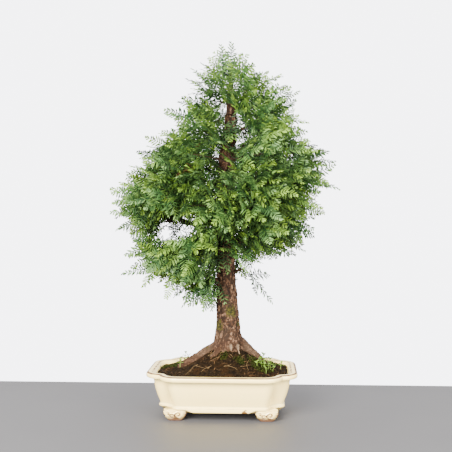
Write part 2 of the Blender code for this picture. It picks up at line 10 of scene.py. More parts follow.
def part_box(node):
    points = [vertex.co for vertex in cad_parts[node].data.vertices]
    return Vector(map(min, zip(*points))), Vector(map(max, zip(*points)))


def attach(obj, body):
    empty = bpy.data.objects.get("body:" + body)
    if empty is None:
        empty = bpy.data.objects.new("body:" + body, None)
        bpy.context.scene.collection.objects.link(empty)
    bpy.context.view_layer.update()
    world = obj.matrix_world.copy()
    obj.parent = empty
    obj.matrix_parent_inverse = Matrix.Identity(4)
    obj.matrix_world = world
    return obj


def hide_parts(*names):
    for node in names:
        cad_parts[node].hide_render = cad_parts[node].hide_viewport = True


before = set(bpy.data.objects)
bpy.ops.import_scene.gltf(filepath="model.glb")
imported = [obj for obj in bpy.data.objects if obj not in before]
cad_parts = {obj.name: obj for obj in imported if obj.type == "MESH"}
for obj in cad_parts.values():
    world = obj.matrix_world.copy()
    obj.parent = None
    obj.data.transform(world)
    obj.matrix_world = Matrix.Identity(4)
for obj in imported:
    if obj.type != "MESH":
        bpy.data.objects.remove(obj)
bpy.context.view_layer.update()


# The pot
# A stoneware pot, press-moulded in one piece: lobed corners, a rolled lip, a band round the base and four
# scrolled feet. It is dipped in cream glaze, which runs thin and brown over edges, and stands on bare clay.

LIP_OUT = 0.013
POT_HALF_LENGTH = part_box("pot")[1].x - LIP_OUT
POT_HALF_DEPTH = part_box("pot")[1].y - LIP_OUT
POT_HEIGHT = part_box("pot")[1].z
LOBE_RADIUS, NOTCH_RADIUS, LOBE_TURN = 0.019, 0.016, math.radians(75)
FOOT_HEIGHT, FLOOR_TOP = 0.014, 0.021
FOOT_X, FOOT_Y = 0.074, 0.0605
FOOT_HALF_LENGTH, FOOT_HALF_DEPTH = 0.0174, 0.0142
FOOT_TOP = FOOT_HEIGHT + 0.004
# A foot: how much it narrows to the ground, how deep its lobes are, and how squarely its corners turn
FOOT_NARROWS, FOOT_LOBES, FOOT_SQUARE = 0.38, 0.09, 0.75
# A foot's lowest edge draws in by this share, and is full again within about this height
FOOT_EDGE, FOOT_EDGE_UP = 0.03, 0.0008
FOOT_RINGS, FOOT_SIDES = 24, 96
# The cloud in relief on each side of a foot: a scroll's place along the foot and up, its radius and its hand
SCROLLS = ((-0.0048, 0.0108, 0.0062, 1), (0.0042, 0.0082, 0.0048, -1), (0.0098, 0.0125, 0.0034, 1))
# A scroll's turns, and its relief as a share of the foot's half size
SCROLL_PITCH, SCROLL_RELIEF = 0.0046, 0.0015 / 0.0165
# The foot band rises over each foot and is cut away below: how far, and where it starts along, across and
# up. Inside this offset the underside stays level
APRON_LIFT, APRON_X, APRON_Y, APRON_Z = 0.0042, (0.044, 0.058), (0.030, 0.045), (0.0150, 0.0205)
UNDERSIDE = -0.0120
# Where the glaze pools and painted shade lies: on the band, at a height and as wide as this, under the lip,
# between the heights where it comes and goes, and where the outline bends in as sharply as this
BAND_POOL_SHADE, LIP_POOL_SHADE, NOTCH_BEND = (0.0245, 0.0018), (0.058, 0.064, 0.0655, 0.067), 3e-6
DRAIN_RADIUS, DRAIN_X, DRAIN_SIDES = 0.008, 0.058, 40
# The pot's section, from its underside over the lip to its floor: offset, height, rounding, thin glaze
POT_SECTION = (
    (-0.0155, FOOT_HEIGHT, 0, 0),
    (-0.0098, FOOT_HEIGHT, 0.0014, 0.6),
    (-0.0086, 0.0160, 0.0015, 0),
    (-0.0086, 0.0212, 0.0012, 0.55),
    (-0.0113, 0.0236, 0.0010, 0),
    (-0.0103, 0.0262, 0.0012, 0),
    (-0.0056, 0.0375, 0.0060, 0),
    (-0.0015, 0.0510, 0.0060, 0),
    (0.0000, 0.0610, 0.0040, 0),
    (0.0012, 0.0655, 0.0020, 0),
    (LIP_OUT - 0.0012, 0.0668, 0.0016, 0),
    (LIP_OUT, 0.0712, 0.0022, 0.4),
    (LIP_OUT - 0.0024, POT_HEIGHT, 0.0024, 1.2),
    (0.0020, POT_HEIGHT, 0.0026, 0.75),
    (-0.0035, 0.0690, 0.0025, 0),
    (-0.0072, 0.0560, 0.0060, 0),
    (-0.0155, FLOOR_TOP, 0, 0),
)


def step_between(value, low, high):
    """0 below low, 1 above high, and a smooth rise between them."""
    share = np.clip((np.asarray(value, float) - low) / (high - low), 0, 1)
    return share * share * (3 - 2 * share)


def pot_outline(offset, arc_steps=9, longest=0.006):
    """The lobed outline moved outwards by an offset, counter-clockwise, as points in the plane."""
    notch_turn = 2 * LOBE_TURN - math.pi / 2
    reach = LOBE_RADIUS * (math.sin(LOBE_TURN) + 1 - math.cos(LOBE_TURN))
    reach += NOTCH_RADIUS * (math.sin(LOBE_TURN) - math.cos(LOBE_TURN))
    at, heading = np.array((POT_HALF_LENGTH - reach, -POT_HALF_DEPTH)), 0.0
    corner = [at + (0, -offset)]
    arcs = ((LOBE_RADIUS, LOBE_TURN), (-NOTCH_RADIUS, -notch_turn), (LOBE_RADIUS, LOBE_TURN))
    for radius, angle in arcs:
        for _ in range(arc_steps):
            after = heading + angle / arc_steps
            chord = (math.sin(after) - math.sin(heading), math.cos(heading) - math.cos(after))
            at, heading = at + radius * np.array(chord), after
            corner.append(at + offset * np.array((math.sin(heading), -math.cos(heading))))
    corner = np.array(corner)
    half = np.concatenate([corner, corner[::-1] * (1, -1)])
    ring = np.concatenate([half, -half])
    found = []
    for here, after in zip(ring, np.roll(ring, -1, axis=0)):
        pieces = max(1, round(np.linalg.norm(after - here) / longest))
        found += [here + (after - here) * k / pieces for k in range(pieces)]
    return np.array(found)


def rounded_section(section, steps=5):
    """The section's corners rounded off: rows of offset, height and thinness of the glaze."""
    corners = np.array(section)
    found = [corners[0, (0, 1, 3)]]
    for before, corner, after in zip(corners, corners[1:], corners[2:]):
        back, on = before[:2] - corner[:2], after[:2] - corner[:2]
        cut = min(corner[2], 0.48 * np.linalg.norm(back), 0.48 * np.linalg.norm(on))
        start = corner[:2] + back / np.linalg.norm(back) * cut
        end = corner[:2] + on / np.linalg.norm(on) * cut
        for s in np.linspace(0, 1, steps):
            point = (1 - s) ** 2 * start + 2 * s * (1 - s) * corner[:2] + s * s * end
            found.append((*point, corner[3] * (0.4 + 0.6 * math.sin(math.pi * s))))
    found.append(corners[-1, (0, 1, 3)])
    return found


def loft(rings):
    """Points and faces of a skin through rings of equal count, closed at both ends."""
    count = len(rings[0])
    faces = [tuple(reversed(range(count)))]
    for low in range(0, (len(rings) - 1) * count, count):
        for i in range(count):
            j = (i + 1) % count
            faces.append((low + i, low + j, low + count + j, low + count + i))
    faces.append(tuple(range((len(rings) - 1) * count, len(rings) * count)))
    return np.concatenate(rings), faces


def linked(name, data):
    """An object in the scene, of a mesh, a light or a camera."""
    made = bpy.data.objects.new(name, data)
    bpy.context.scene.collection.objects.link(made)
    return made


def set_mark(mesh, name, values):
    """Writes a mark at every point of a mesh: a number, or a vector."""
    values = np.asarray(values, float)
    kind, part = ("FLOAT", "value") if values.ndim == 1 else ("FLOAT_VECTOR", "vector")
    mesh.attributes.new(name, kind, "POINT").data.foreach_set(part, values.ravel())


def body(name, points, faces, finish=None, **marks):
    """A mesh object in the scene, shaded smooth but for its sharp edges, with a mark at every point."""
    mesh = bpy.data.meshes.new(name)
    mesh.from_pydata(np.asarray(points, float).tolist(), [], faces)
    for mark, values in marks.items():
        set_mark(mesh, mark, values)
    mesh.shade_smooth()
    mesh.set_sharp_from_angle(angle=math.radians(50))
    if finish:
        mesh.materials.append(finish)
    return linked(name, mesh)


def plain_mesh(made):
    """Turns an object's live modifiers into its mesh."""
    bpy.context.view_layer.update()
    seen = made.evaluated_get(bpy.context.evaluated_depsgraph_get())
    result = bpy.data.meshes.new_from_object(seen)
    made.modifiers.clear()
    made.data = result
    return made


def join_solids(main, others, operation, *marks):
    """Joins closed bodies to the main one, or cuts them from it, and keeps the marks at their points."""
    known = []
    for one in (main, *others):
        values = [one.data.attributes[mark].data if mark in one.data.attributes else None for mark in marks]
        if all(values):
            known += [(v.co.copy(), [column[v.index].value for column in values]) for v in one.data.vertices]
    for other in others:
        boolean = main.modifiers.new("join", "BOOLEAN")
        boolean.operation, boolean.object, boolean.solver = operation, other, "EXACT"
    plain_mesh(main)
    places = kdtree.KDTree(len(known))
    for number, (place, _) in enumerate(known):
        places.insert(place, number)
    places.balance()
    for corner in main.data.vertices:
        for mark, value in zip(marks, known[places.find(corner.co)[1]][1]):
            main.data.attributes[mark].data[corner.index].value = value
    for other in others:
        bpy.data.objects.remove(other)


class Wire:
    """An output of a node, in a material or in a geometry tree. Operators on it add Math nodes."""

    def __init__(self, tree, socket=None):
        self.tree, self.socket = tree, socket

    def add(self, kind, settings=None, sockets=None, out=0):
        """Any other node: first its settings, then the values or links of its sockets."""
        node = self.tree.nodes.new(kind)
        for name, value in (settings or {}).items():
            setattr(node, name, value)
        for name, value in (sockets or {}).items():
            for one in value if isinstance(value, list) else [value]:
                if isinstance(one, Wire):
                    self.tree.links.new(one.socket, node.inputs[name])
                else:
                    node.inputs[name].default_value = one
        return Wire(self.tree, node.outputs[out])

    def math(self, operation, first, second=0.0):
        return self.add("ShaderNodeMath", {"operation": operation}, {0: first, 1: second})

    def __add__(self, other):
        return self.math("ADD", self, other)

    def __sub__(self, other):
        return self.math("SUBTRACT", self, other)

    def __rsub__(self, other):
        return self.math("SUBTRACT", other, self)

    def __mul__(self, other):
        return self.math("MULTIPLY", self, other)

    __radd__, __rmul__ = __add__, __mul__


def new_finish(name, **constants):
    """A material, with its shader's own constants, and a wire in its tree at the object's own coordinates."""
    made = bpy.data.materials.new(name)
    made.use_nodes = True
    shader = made.node_tree.nodes["Principled BSDF"]
    for socket, value in constants.items():
        shader.inputs[socket.replace("_", " ")].default_value = value
    return made, shader, Wire(made.node_tree).add("ShaderNodeTexCoord", out="Object")


def feed(shader, **wires):
    """Links wires to the shader's sockets."""
    for socket, wire in wires.items():
        wire.tree.links.new(wire.socket, shader.inputs[socket.replace("_", " ")])


def mark_of(wire, name, out="Fac"):
    return wire.add("ShaderNodeAttribute", {"attribute_name": name}, out=out)


def cloud(place, scale, detail=3.0, roughness=0.5):
    sockets = {"Vector": place, "Scale": scale, "Detail": detail, "Roughness": roughness}
    return place.add("ShaderNodeTexNoise", {}, sockets)


def rise(wire, low, high):
    """0 where the wire is below low, 1 above high, smooth between."""
    settings = {"interpolation_type": "SMOOTHSTEP"}
    return wire.add("ShaderNodeMapRange", settings, {"Value": wire, "From Min": low, "From Max": high})


def mix(share, first, second):
    """Two colours, as tuples or wires, mixed by a share."""
    first, second = ((*c, 1) if isinstance(c, tuple) else c for c in (first, second))
    return share.add("ShaderNodeMix", {"data_type": "RGBA"}, {0: share, 6: first, 7: second}, out=2)


def bump(height, distance, strength=1.0, under=None):
    sockets = {"Height": height, "Distance": distance, "Strength": strength}
    if under:
        sockets["Normal"] = under
    return height.add("ShaderNodeBump", {}, sockets)


def cream_glaze():
    made, shader, place = new_finish("cream_glaze", Coat_Roughness=0.06, IOR=1.5)
    height = place.add("ShaderNodeSeparateXYZ", {}, {"Vector": place}, out="Z")
    slow, quick, grain = cloud(place, 11, 2), cloud(place, 70, 4), cloud(place, 900, 2)
    colour = mix(slow, (0.98, 0.71, 0.22), (1.0, 0.78, 0.29))
    # Darker, greener glaze where it pools, which is also painted shade in the notches, under the lip and over
    # the band
    pool_and_shade = mark_of(place, "glaze_pool") * (0.5 + quick)
    colour = mix(pool_and_shade * 0.9, colour, (0.66, 0.57, 0.25))
    thin = rise(mark_of(place, "glaze_thin") * (0.35 + 1.1 * quick), 0.30, 0.80)
    colour = mix(thin, colour, (0.090, 0.037, 0.010))
    specks = rise(cloud(place, 420, 1), 0.755, 0.80)
    colour = mix(specks * 0.35, colour, (0.30, 0.18, 0.08))
    blots, spot = cloud(place, 330, 3), {0: place, 1: (0.0385, -0.0765, 0.0142)}
    spot = place.add("ShaderNodeVectorMath", {"operation": "DISTANCE"}, spot, out=1)
    missed = 1 - rise(spot + blots * 0.0100, 0.0094, 0.0106)
    colour = mix(missed, colour, (0.13, 0.058, 0.003))
    clay = 1 - rise(height + quick * 0.0040, 0.0040, 0.0050)
    colour = mix(clay, colour, mix(grain, (0.070, 0.030, 0.012), (0.15, 0.068, 0.028)))
    bare = clay.math("MAXIMUM", clay, missed)
    feed(
        shader,
        Base_Color=colour,
        Roughness=0.16 + 0.10 * quick + 0.55 * bare + 0.35 * thin,
        Coat_Weight=0.30 * (1 - bare) * (1 - thin),
        Normal=bump(slow * 0.6 + quick * 0.25 + grain * bare * 0.1, 0.0010, 0.5),
    )
    return made


def scroll_ridge(across, up):
    """How high the scrolls stand at a place on a foot's side: 1 on a ridge, -1 in a groove."""
    ridge = 0
    for scroll_across, scroll_up, radius, hand in SCROLLS:
        along, above = hand * (across - scroll_across), up - scroll_up
        away = math.hypot(along, above)
        curl = math.cos(math.atan2(above, along) + 2 * math.pi * away / SCROLL_PITCH)
        edge = 1 - float(step_between(away, 0.8 * radius, 1.25 * radius))
        ridge = max(ridge, curl * edge, key=abs)
    return ridge * float(step_between(up, 0.001, 0.004))


def foot(finish):
    """A foot at the front left: drawn in towards the ground, with scrolls in relief on each side."""
    rings, thin = [], []
    for z in np.linspace(0, FOOT_TOP, FOOT_RINGS):
        bulge = math.sin(math.pi / 2 * (z / FOOT_TOP) ** 0.9)
        share = 1 - FOOT_NARROWS + FOOT_NARROWS * bulge - FOOT_EDGE * math.exp(-z / FOOT_EDGE_UP)
        ring = []
        for angle in np.linspace(0, 2 * math.pi, FOOT_SIDES, endpoint=False):
            boxy = [math.copysign(abs(c) ** FOOT_SQUARE, c) for c in (math.cos(angle), math.sin(angle))]
            middle = (round(angle / (math.pi / 2)) * math.pi / 2 - angle) * FOOT_HALF_LENGTH
            ridge = scroll_ridge(middle, z)
            scale = share * (1 + FOOT_LOBES * math.cos(3 * angle + math.pi / 2)) + ridge * SCROLL_RELIEF
            ring.append((*(np.array(boxy) * scale * (FOOT_HALF_LENGTH, FOOT_HALF_DEPTH)), z))
            thin.append(max(2.4 * ridge - 0.9, 1.1 * (1 - z / FOOT_TOP) ** 1.2, 0))
        rings.append(np.array(ring))
    return body("foot", *loft(rings), finish, glaze_thin=thin, glaze_pool=np.zeros(len(thin)))


def lobed_pot(finish):
    """The pot with its feet and drain holes, and marks where its glaze is thin, and where it pools and
    painted shade lies.
    """
    rings, thin, pool_and_shade = [], [], []
    for offset, z, edge in rounded_section(POT_SECTION):
        ring = pot_outline(offset)
        before, after = ring - np.roll(ring, 1, axis=0), np.roll(ring, -1, axis=0) - ring
        turn = before[:, 0] * after[:, 1] - before[:, 1] * after[:, 0]
        hollow = np.convolve(np.tile(np.clip(-turn / NOTCH_BEND, 0, 1), 3), np.ones(5) / 5, "same")
        hollow = hollow[len(ring) : 2 * len(ring)]
        near_feet = step_between(abs(ring[:, 0]), *APRON_X) * step_between(abs(ring[:, 1]), *APRON_Y)
        lift = APRON_LIFT * near_feet * (1 - step_between(z, *APRON_Z)) * (offset > UNDERSIDE)
        rings.append(np.column_stack([ring, z + lift]))
        thin.append(np.full(len(ring), edge))
        # Painted shade under the lip, over the band and in the notches, in the same mark as the pooled glaze
        under_lip = step_between(z, *LIP_POOL_SHADE[:2]) * (1 - step_between(z, *LIP_POOL_SHADE[2:])) * (offset > -0.002)
        over_band = math.exp(-(((z - BAND_POOL_SHADE[0]) / BAND_POOL_SHADE[1]) ** 2))
        pool_and_shade.append(np.clip(0.7 * hollow * (z < 0.066) + 0.6 * under_lip + 0.5 * over_band, 0, 1))
    marks = {"glaze_thin": np.concatenate(thin), "glaze_pool": np.concatenate(pool_and_shade)}
    pot = body("lobed_pot", *loft(rings), finish, **marks)
    feet = []
    for x, y in ((-1, -1), (1, -1), (1, 1), (-1, 1)):
        turn = Matrix.Rotation(math.pi if y > 0 else 0, 4, "Z")
        feet.append(foot(finish))
        feet[-1].data.transform(Matrix.Translation((x * FOOT_X, y * FOOT_Y, 0)) @ turn)
    join_solids(pot, feet, "UNION", *marks)
    drains = []
    angles = np.linspace(0, 2 * math.pi, DRAIN_SIDES, endpoint=False)
    for x in (-DRAIN_X, DRAIN_X):
        circle = np.column_stack([x + DRAIN_RADIUS * np.cos(angles), DRAIN_RADIUS * np.sin(angles)])
        rings = [[(*corner, z) for corner in circle] for z in (FOOT_HEIGHT / 2, FLOOR_TOP * 1.5)]
        drains.append(body("drain", *loft(rings), finish))
    join_solids(pot, drains, "DIFFERENCE", *marks)
    return pot


pot = lobed_pot(cream_glaze())
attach(pot, "root")
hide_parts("pot")


# The drain screens
# Two squares of moulded plastic mesh, which lie over the drain holes under the soil and keep it in.


def screen_plastic():
    made, shader, place = new_finish("screen_plastic")
    worn = cloud(place, 260, 3)
    feed(
        shader,
        Base_Color=mix(worn, (0.02, 0.045, 0.03), (0.05, 0.085, 0.06)),
        Roughness=0.42 + 0.25 * worn,
        Normal=bump(worn, 0.0002, 0.4),
    )
    return made


plastic = screen_plastic()
for name in ("drain_screen_left", "drain_screen_right"):
    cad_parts[name].material_slots[0].material = plastic


# The soil
# Dark, damp potting soil full of fine roots, mounded over the surface roots and level at the pot's wall.
# Crumbs and bits of grit lie on it, with fallen brown needles, pale root ends and cushions of moss.

SOIL_EDGE, MOUND_RISE, MOUND_SPREAD, MOUND_X = 0.0690, 0.046, 0.057, 0.009
MOUND_TOP = 0.018
# The soil's side against the pot's wall: offset from the outline, height
SOIL_SIDE = ((-0.0158, FLOOR_TOP + 0.0003), (-0.0075, 0.0560), (-0.0038, 0.0680))
SOIL_RINGS = 58
LUMP_RELIEF, CRUMB_RELIEF = 0.0011, 0.0011
# Cushions of moss: their middle and their radius
MOSS = (
    ((0.062, -0.032), 0.024),
    ((0.030, -0.042), 0.011),
    ((-0.088, 0.016), 0.024),
    ((-0.074, 0.044), 0.016),
    ((0.088, 0.030), 0.018),
    ((0.030, 0.055), 0.020),
    ((-0.030, 0.060), 0.018),
    ((0.004, -0.036), 0.009),
)
MOSS_LOWEST = 0.060
# Pale root ends that lie on the soil: where they start, which way they run, and their length
STRANDS = (
    ((0.000, -0.033), -160, 0.020),
    ((0.044, -0.036), -100, 0.022),
    ((-0.040, -0.034), -140, 0.034),
    ((-0.018, -0.052), -155, 0.018),
)
MORE_STRANDS, STRAND_POINTS, STRAND_SEED = 26, 14, 5
CRUMBS, MOSS_TUFTS, LITTER = 1900, 1150, 240
NOISE_SEED = 21
# The faces of a small body with two pointed ends, and three corners round its middle
SPINDLE = [(0, 1, 2), (0, 2, 3), (0, 3, 1), (1, 4, 2), (2, 4, 3), (3, 4, 1)]
# Where bits lie: above this height, and outside this circle round the trunk
OPEN_SOIL, TRUNK_CIRCLE = 0.0672, (0.021, 0.024)


def unit(vector):
    return np.asarray(vector, float) / np.linalg.norm(vector)


def soil_height(x, y):
    """The soil's surface: level at the wall, and mounded over the roots round the trunk."""
    distance = math.hypot(x - MOUND_X, y)
    ripple = 0.0011 * math.sin(71 * x + 2) * math.cos(83 * y) + 0.0007 * math.sin(190 * (x + y))
    return SOIL_EDGE + MOUND_RISE * math.exp(-((distance / MOUND_SPREAD) ** 2)) + ripple


def soil_relief(x, y):
    """Lumps and crumbs that stand out of the surface or lie below it."""
    spot = Vector((x, y, 0.3))
    lumps = noise.fractal(spot * 95, 0.9, 2.0, 3)
    near, _ = noise.voronoi(spot * 420 + 0.6 * noise.noise_vector(spot * 300))
    return LUMP_RELIEF * lumps + CRUMB_RELIEF * (0.5 - near[0])


def near_any(points, spots):
    """1 in the middle of the nearest of some round patches, 0 outside them all."""
    shares = [1 - np.linalg.norm(points - middle, axis=1) / radius for middle, radius in spots]
    return np.max([np.zeros(len(points)), *shares], axis=0)


def soil_bed(finish):
    outlines = [(pot_outline(offset, 14, 0.0035), z) for offset, z in SOIL_SIDE]
    rings = [np.column_stack([ring, np.full(len(ring), z)]) for ring, z in outlines]
    centre = np.array((MOUND_X, 0))
    edge = outlines[-1][0] - centre
    towards = edge / np.linalg.norm(edge, axis=1)[:, None]
    for share in np.linspace(0.004, 1.0, SOIL_RINGS) ** 0.8:
        ring = centre + edge * (1 - share) + towards * MOUND_TOP * share
        heights = [soil_height(x, y) + soil_relief(x, y) * min(1, share * 9) for x, y in ring]
        rings.append(np.column_stack([ring, heights]))
    points, faces = loft(rings)
    moss = near_any(points[:, :2], MOSS) * (points[:, 2] > MOSS_LOWEST)
    return body("soil_bed", points, faces, finish, moss=moss)


def dark_soil():
    made, shader, place = new_finish("dark_soil", Specular_IOR_Level=0.05)
    crumbs = place.add("ShaderNodeTexVoronoi", {}, {"Vector": place, "Scale": 520})
    slow, quick, fine = cloud(place, 38, 3), cloud(place, 210, 4, 0.65), cloud(place, 1300, 2)
    colour = mix(rise(quick, 0.35, 0.66), (0.0022, 0.0011, 0.0003), (0.0115, 0.0060, 0.0016))
    colour = mix(rise(slow, 0.50, 0.66) * 0.45, colour, (0.024, 0.0094, 0.0022))
    colour = mix(rise(fine, 0.62, 0.74) * 0.4, colour, (0.060, 0.035, 0.011))
    moss = rise(mark_of(place, "moss") + quick, 0.70, 0.95)
    colour = mix(moss, colour, mix(fine, (0.005, 0.006, 0.0010), (0.018, 0.017, 0.002)))
    colour = mix((1 - rise(crumbs, 0.0, 0.3)) * 0.3, colour, (0.020, 0.0108, 0.0032))
    lumpy = bump(quick + 0.4 * fine, 0.0012, 0.9)
    feed(shader, Base_Color=colour, Roughness=0.72 + 0.25 * fine, Normal=lumpy)
    return made


def geometry_tree(name, **inputs):
    """A geometry tree with named inputs, and a wire at each of them."""
    tree = bpy.data.node_groups.new(name, "GeometryNodeTree")
    for label, kind in inputs.items():
        tree.interface.new_socket(label, in_out="INPUT", socket_type="NodeSocket" + kind)
    tree.interface.new_socket("Result", in_out="OUTPUT", socket_type="NodeSocketGeometry")
    given = tree.nodes.new("NodeGroupInput")
    return tree, {label: Wire(tree, given.outputs[label]) for label in inputs}


def end_tree(result, finish):
    """Ends a geometry tree: its instances made real, and the finish set."""
    result = result.add("GeometryNodeRealizeInstances", {}, {"Geometry": result})
    result = result.add("GeometryNodeSetMaterial", {}, {"Geometry": result, "Material": finish})
    out = result.tree.nodes.new("NodeGroupOutput")
    result.tree.links.new(result.socket, out.inputs[0])


def grown(made, tree, **settings):
    """The mesh that a geometry tree makes of an object, with the tree's inputs set by name."""
    modifier = made.modifiers.new("grown", "NODES")
    modifier.node_group = tree
    for item in tree.interface.items_tree:
        if item.in_out == "INPUT" and item.name in settings:
            modifier[item.identifier] = settings[item.name]
    return plain_mesh(made)


def marked(wire, name, kind="FLOAT"):
    """A wire at an attribute of the geometry."""
    return wire.add("GeometryNodeInputNamedAttribute", {"data_type": kind}, {"Name": name})


def drawn(wire, seed, low=0.0, high=1.0):
    """A random number at each point."""
    sockets = {2: low, 3: high, 8: seed}
    return wire.add("FunctionNodeRandomValue", {"data_type": "FLOAT"}, sockets, out=1)


def drawn_way(wire, seed):
    """A random vector at each point, with each part between -1 and 1."""
    sockets = {0: (-1, -1, -1), 1: (1, 1, 1), 8: seed}
    return wire.add("FunctionNodeRandomValue", {"data_type": "FLOAT_VECTOR"}, sockets)


def scaled(vector, factor):
    return vector.add("ShaderNodeVectorMath", {"operation": "SCALE"}, {0: vector, "Scale": factor})


def summed(total, *others):
    for other in others:
        total = total.add("ShaderNodeVectorMath", {"operation": "ADD"}, {0: total, 1: other})
    return total


def stored(wire, name, value, kind="FLOAT"):
    """The geometry with a mark written at its points."""
    settings = {"data_type": kind, "domain": "POINT"}
    sockets = {"Geometry": wire, "Name": name, "Value": value}
    return wire.add("GeometryNodeStoreNamedAttribute", settings, sockets)


def scatter_tree():
    """A tree that strews copies of a bit over a ground, by the ground's mark for where they lie."""
    inputs = {"Ground": "Geometry", "Bit": "Object", "Density": "Float", "Smallest": "Float"}
    inputs.update({"Largest": "Float", "Tilt": "Float", "Seed": "Int", "Finish": "Material"})
    tree, given = geometry_tree("strewn_bits", **inputs)
    ground, seed = given["Ground"], given["Seed"]
    sockets = {"Mesh": ground, 4: given["Density"] * marked(ground, "here"), "Seed": seed}
    points = ground.add("GeometryNodeDistributePointsOnFaces", {"distribute_method": "RANDOM"}, sockets)
    normal, around = Wire(tree, points.socket.node.outputs["Normal"]), drawn_way(points, seed + 5)
    upright = summed(normal, scaled(around, given["Tilt"]))
    axes = {"primary_axis": "Z", "secondary_axis": "X"}
    turn = points.add("FunctionNodeAxesToRotation", axes, {"Primary Axis": upright, "Secondary Axis": around})
    size = drawn(points, seed + 9, given["Smallest"], given["Largest"])
    points = stored(points, "tint", drawn(points, seed + 2))
    bit = points.add("GeometryNodeObjectInfo", {}, {"Object": given["Bit"]}, out="Geometry")
    sockets = {"Points": points, "Instance": bit, "Rotation": turn, "Scale": size}
    end_tree(points.add("GeometryNodeInstanceOnPoints", {}, sockets), given["Finish"])
    return tree


def facing_out(made):
    """Turns a closed body's faces outwards."""
    work = bmesh.new()
    work.from_mesh(made.data)
    bmesh.ops.recalc_face_normals(work, faces=work.faces[:])
    work.to_mesh(made.data)
    work.free()
    return made


def merged(skins):
    """Several closed skins as one list of points and one of faces."""
    points, faces, start = [], [], 0
    for some, their in skins:
        points.append(some)
        faces += [tuple(start + i for i in face) for face in their]
        start += len(some)
    return np.concatenate(points), faces


def crumb():
    """A crumb of soil a metre across, with an uneven surface."""
    work = bmesh.new()
    bmesh.ops.create_icosphere(work, subdivisions=1, radius=0.5)
    for corner in work.verts:
        corner.co *= 1 + 0.45 * noise.noise(corner.co * 3.1)
        corner.co.z *= 0.7
    mesh = bpy.data.meshes.new("crumb")
    work.to_mesh(mesh)
    work.free()
    return linked("crumb", mesh)


def moss_tuft():
    """A tuft of moss a metre high: five pointed leaves that spread from one foot."""
    skins = []
    for k in range(5):
        angle = k * 2 * math.pi / 5 + 0.3 * (k % 2)
        out = np.array((math.cos(angle), math.sin(angle), 0)) * (0.75 if k % 2 else 0.30)
        side = np.array((-math.sin(angle), math.cos(angle), 0)) * 0.16
        foot = np.array((0, 0, -0.15))
        middle = out * 0.45 + (0, 0, 0.5)
        points = [foot, middle - side, middle + side, middle + out * 0.2 + (0, 0, -0.1), out + (0, 0, 0.95)]
        skins.append((np.array(points), SPINDLE))
    return facing_out(body("tuft", *merged(skins)))


def dead_needle():
    """A fallen needle a metre long, lying flat and a little curled."""
    points = [(-0.5, 0, 0.05), (0.0, -0.06, 0.10), (0.0, 0.06, 0.10), (0.05, 0, 0.04), (0.5, 0.1, 0.07)]
    return facing_out(body("dead_needle", points, SPINDLE))


def bit_finish(name, low, high, roughness):
    """A finish for strewn bits, each with a shade of its own."""
    made, shader, place = new_finish(name, Specular_IOR_Level=0.08)
    fine = cloud(place, 900, 2)
    colour = mix(0.75 * mark_of(place, "tint") + 0.4 * fine - 0.1, low, high)
    feed(shader, Base_Color=colour, Roughness=roughness + 0.2 * fine, Normal=bump(fine, 0.0004, 0.5))
    return made


def strip_marks(made, *kept):
    """Removes the marks that the finish doesn't read."""
    for mark in [a.name for a in made.data.attributes if not a.is_internal and not a.is_required]:
        if mark not in kept and mark not in ("position", "sharp_edge", "sharp_face", "material_index"):
            made.data.attributes.remove(made.data.attributes[mark])


def strewn(name, ground, here, count, bit, finish, sizes, tilt, seed):
    """Bits strewn over the ground, as many as asked for, more of them where its mark is higher."""
    cover = ground.data.copy()
    set_mark(cover, "here", here)
    area = sum(face.area * float(np.mean([here[i] for i in face.vertices])) for face in cover.polygons)
    made = linked(name, cover)
    amounts = {"Density": count / area, "Smallest": sizes[0], "Largest": sizes[1], "Tilt": tilt}
    grown(made, scatter, Bit=bit, Seed=seed, Finish=finish, **amounts)
    bpy.data.objects.remove(bit)
    strip_marks(made, "tint")
    made.data.shade_smooth()
    return made


def tube(path, radii, sides=16):
    """Rings of a round tube along a path, without twist."""
    path = np.asarray(path, float)
    side, rings = None, []
    angles = np.linspace(0, 2 * math.pi, sides, endpoint=False)[:, None]
    for along, point, radius in zip(np.gradient(path, axis=0), path, radii):
        along = unit(along)
        if side is None:
            side = np.cross(along, (0, 0, 1)) if abs(along[2]) < 0.9 else np.array((1.0, 0, 0))
        side = unit(side - along * np.dot(side, along))
        rings.append(point + radius * (side * np.cos(angles) + np.cross(along, side) * np.sin(angles)))
    return rings


def root_strands(finish):
    """Pale root ends, half sunk in the soil."""
    chance = random.Random(STRAND_SEED)
    strands = list(STRANDS)
    for _ in range(MORE_STRANDS):
        turn, away = chance.uniform(0, 2 * math.pi), chance.uniform(0.034, 0.072)
        place = (MOUND_X + 1.15 * away * math.cos(turn), 0.85 * away * math.sin(turn))
        strands.append((place, chance.uniform(0, 360), chance.uniform(0.008, 0.022)))
    skins = []
    for (x, y), direction, length in strands:
        heading, path = math.radians(direction), []
        for share in np.linspace(0, 1, STRAND_POINTS):
            lift = 0.0004 + 0.0012 * math.sin(math.pi * share)
            path.append((x, y, soil_height(x, y) + soil_relief(x, y) * 0.6 + lift))
            x += math.cos(heading) * length / (STRAND_POINTS - 1)
            y += math.sin(heading) * length / (STRAND_POINTS - 1)
            heading += chance.uniform(-0.28, 0.28)
        path = np.array(path)
        path[1:-1] = (path[:-2] + 2 * path[1:-1] + path[2:]) / 4
        radii = chance.uniform(0.00035, 0.00060) * np.linspace(1.1, 0.5, STRAND_POINTS)
        skins.append(loft(tube(path, radii, 5)))
    return body("root_strands", *merged(skins), finish, tint=np.full(sum(len(s[0]) for s in skins), 0.6))


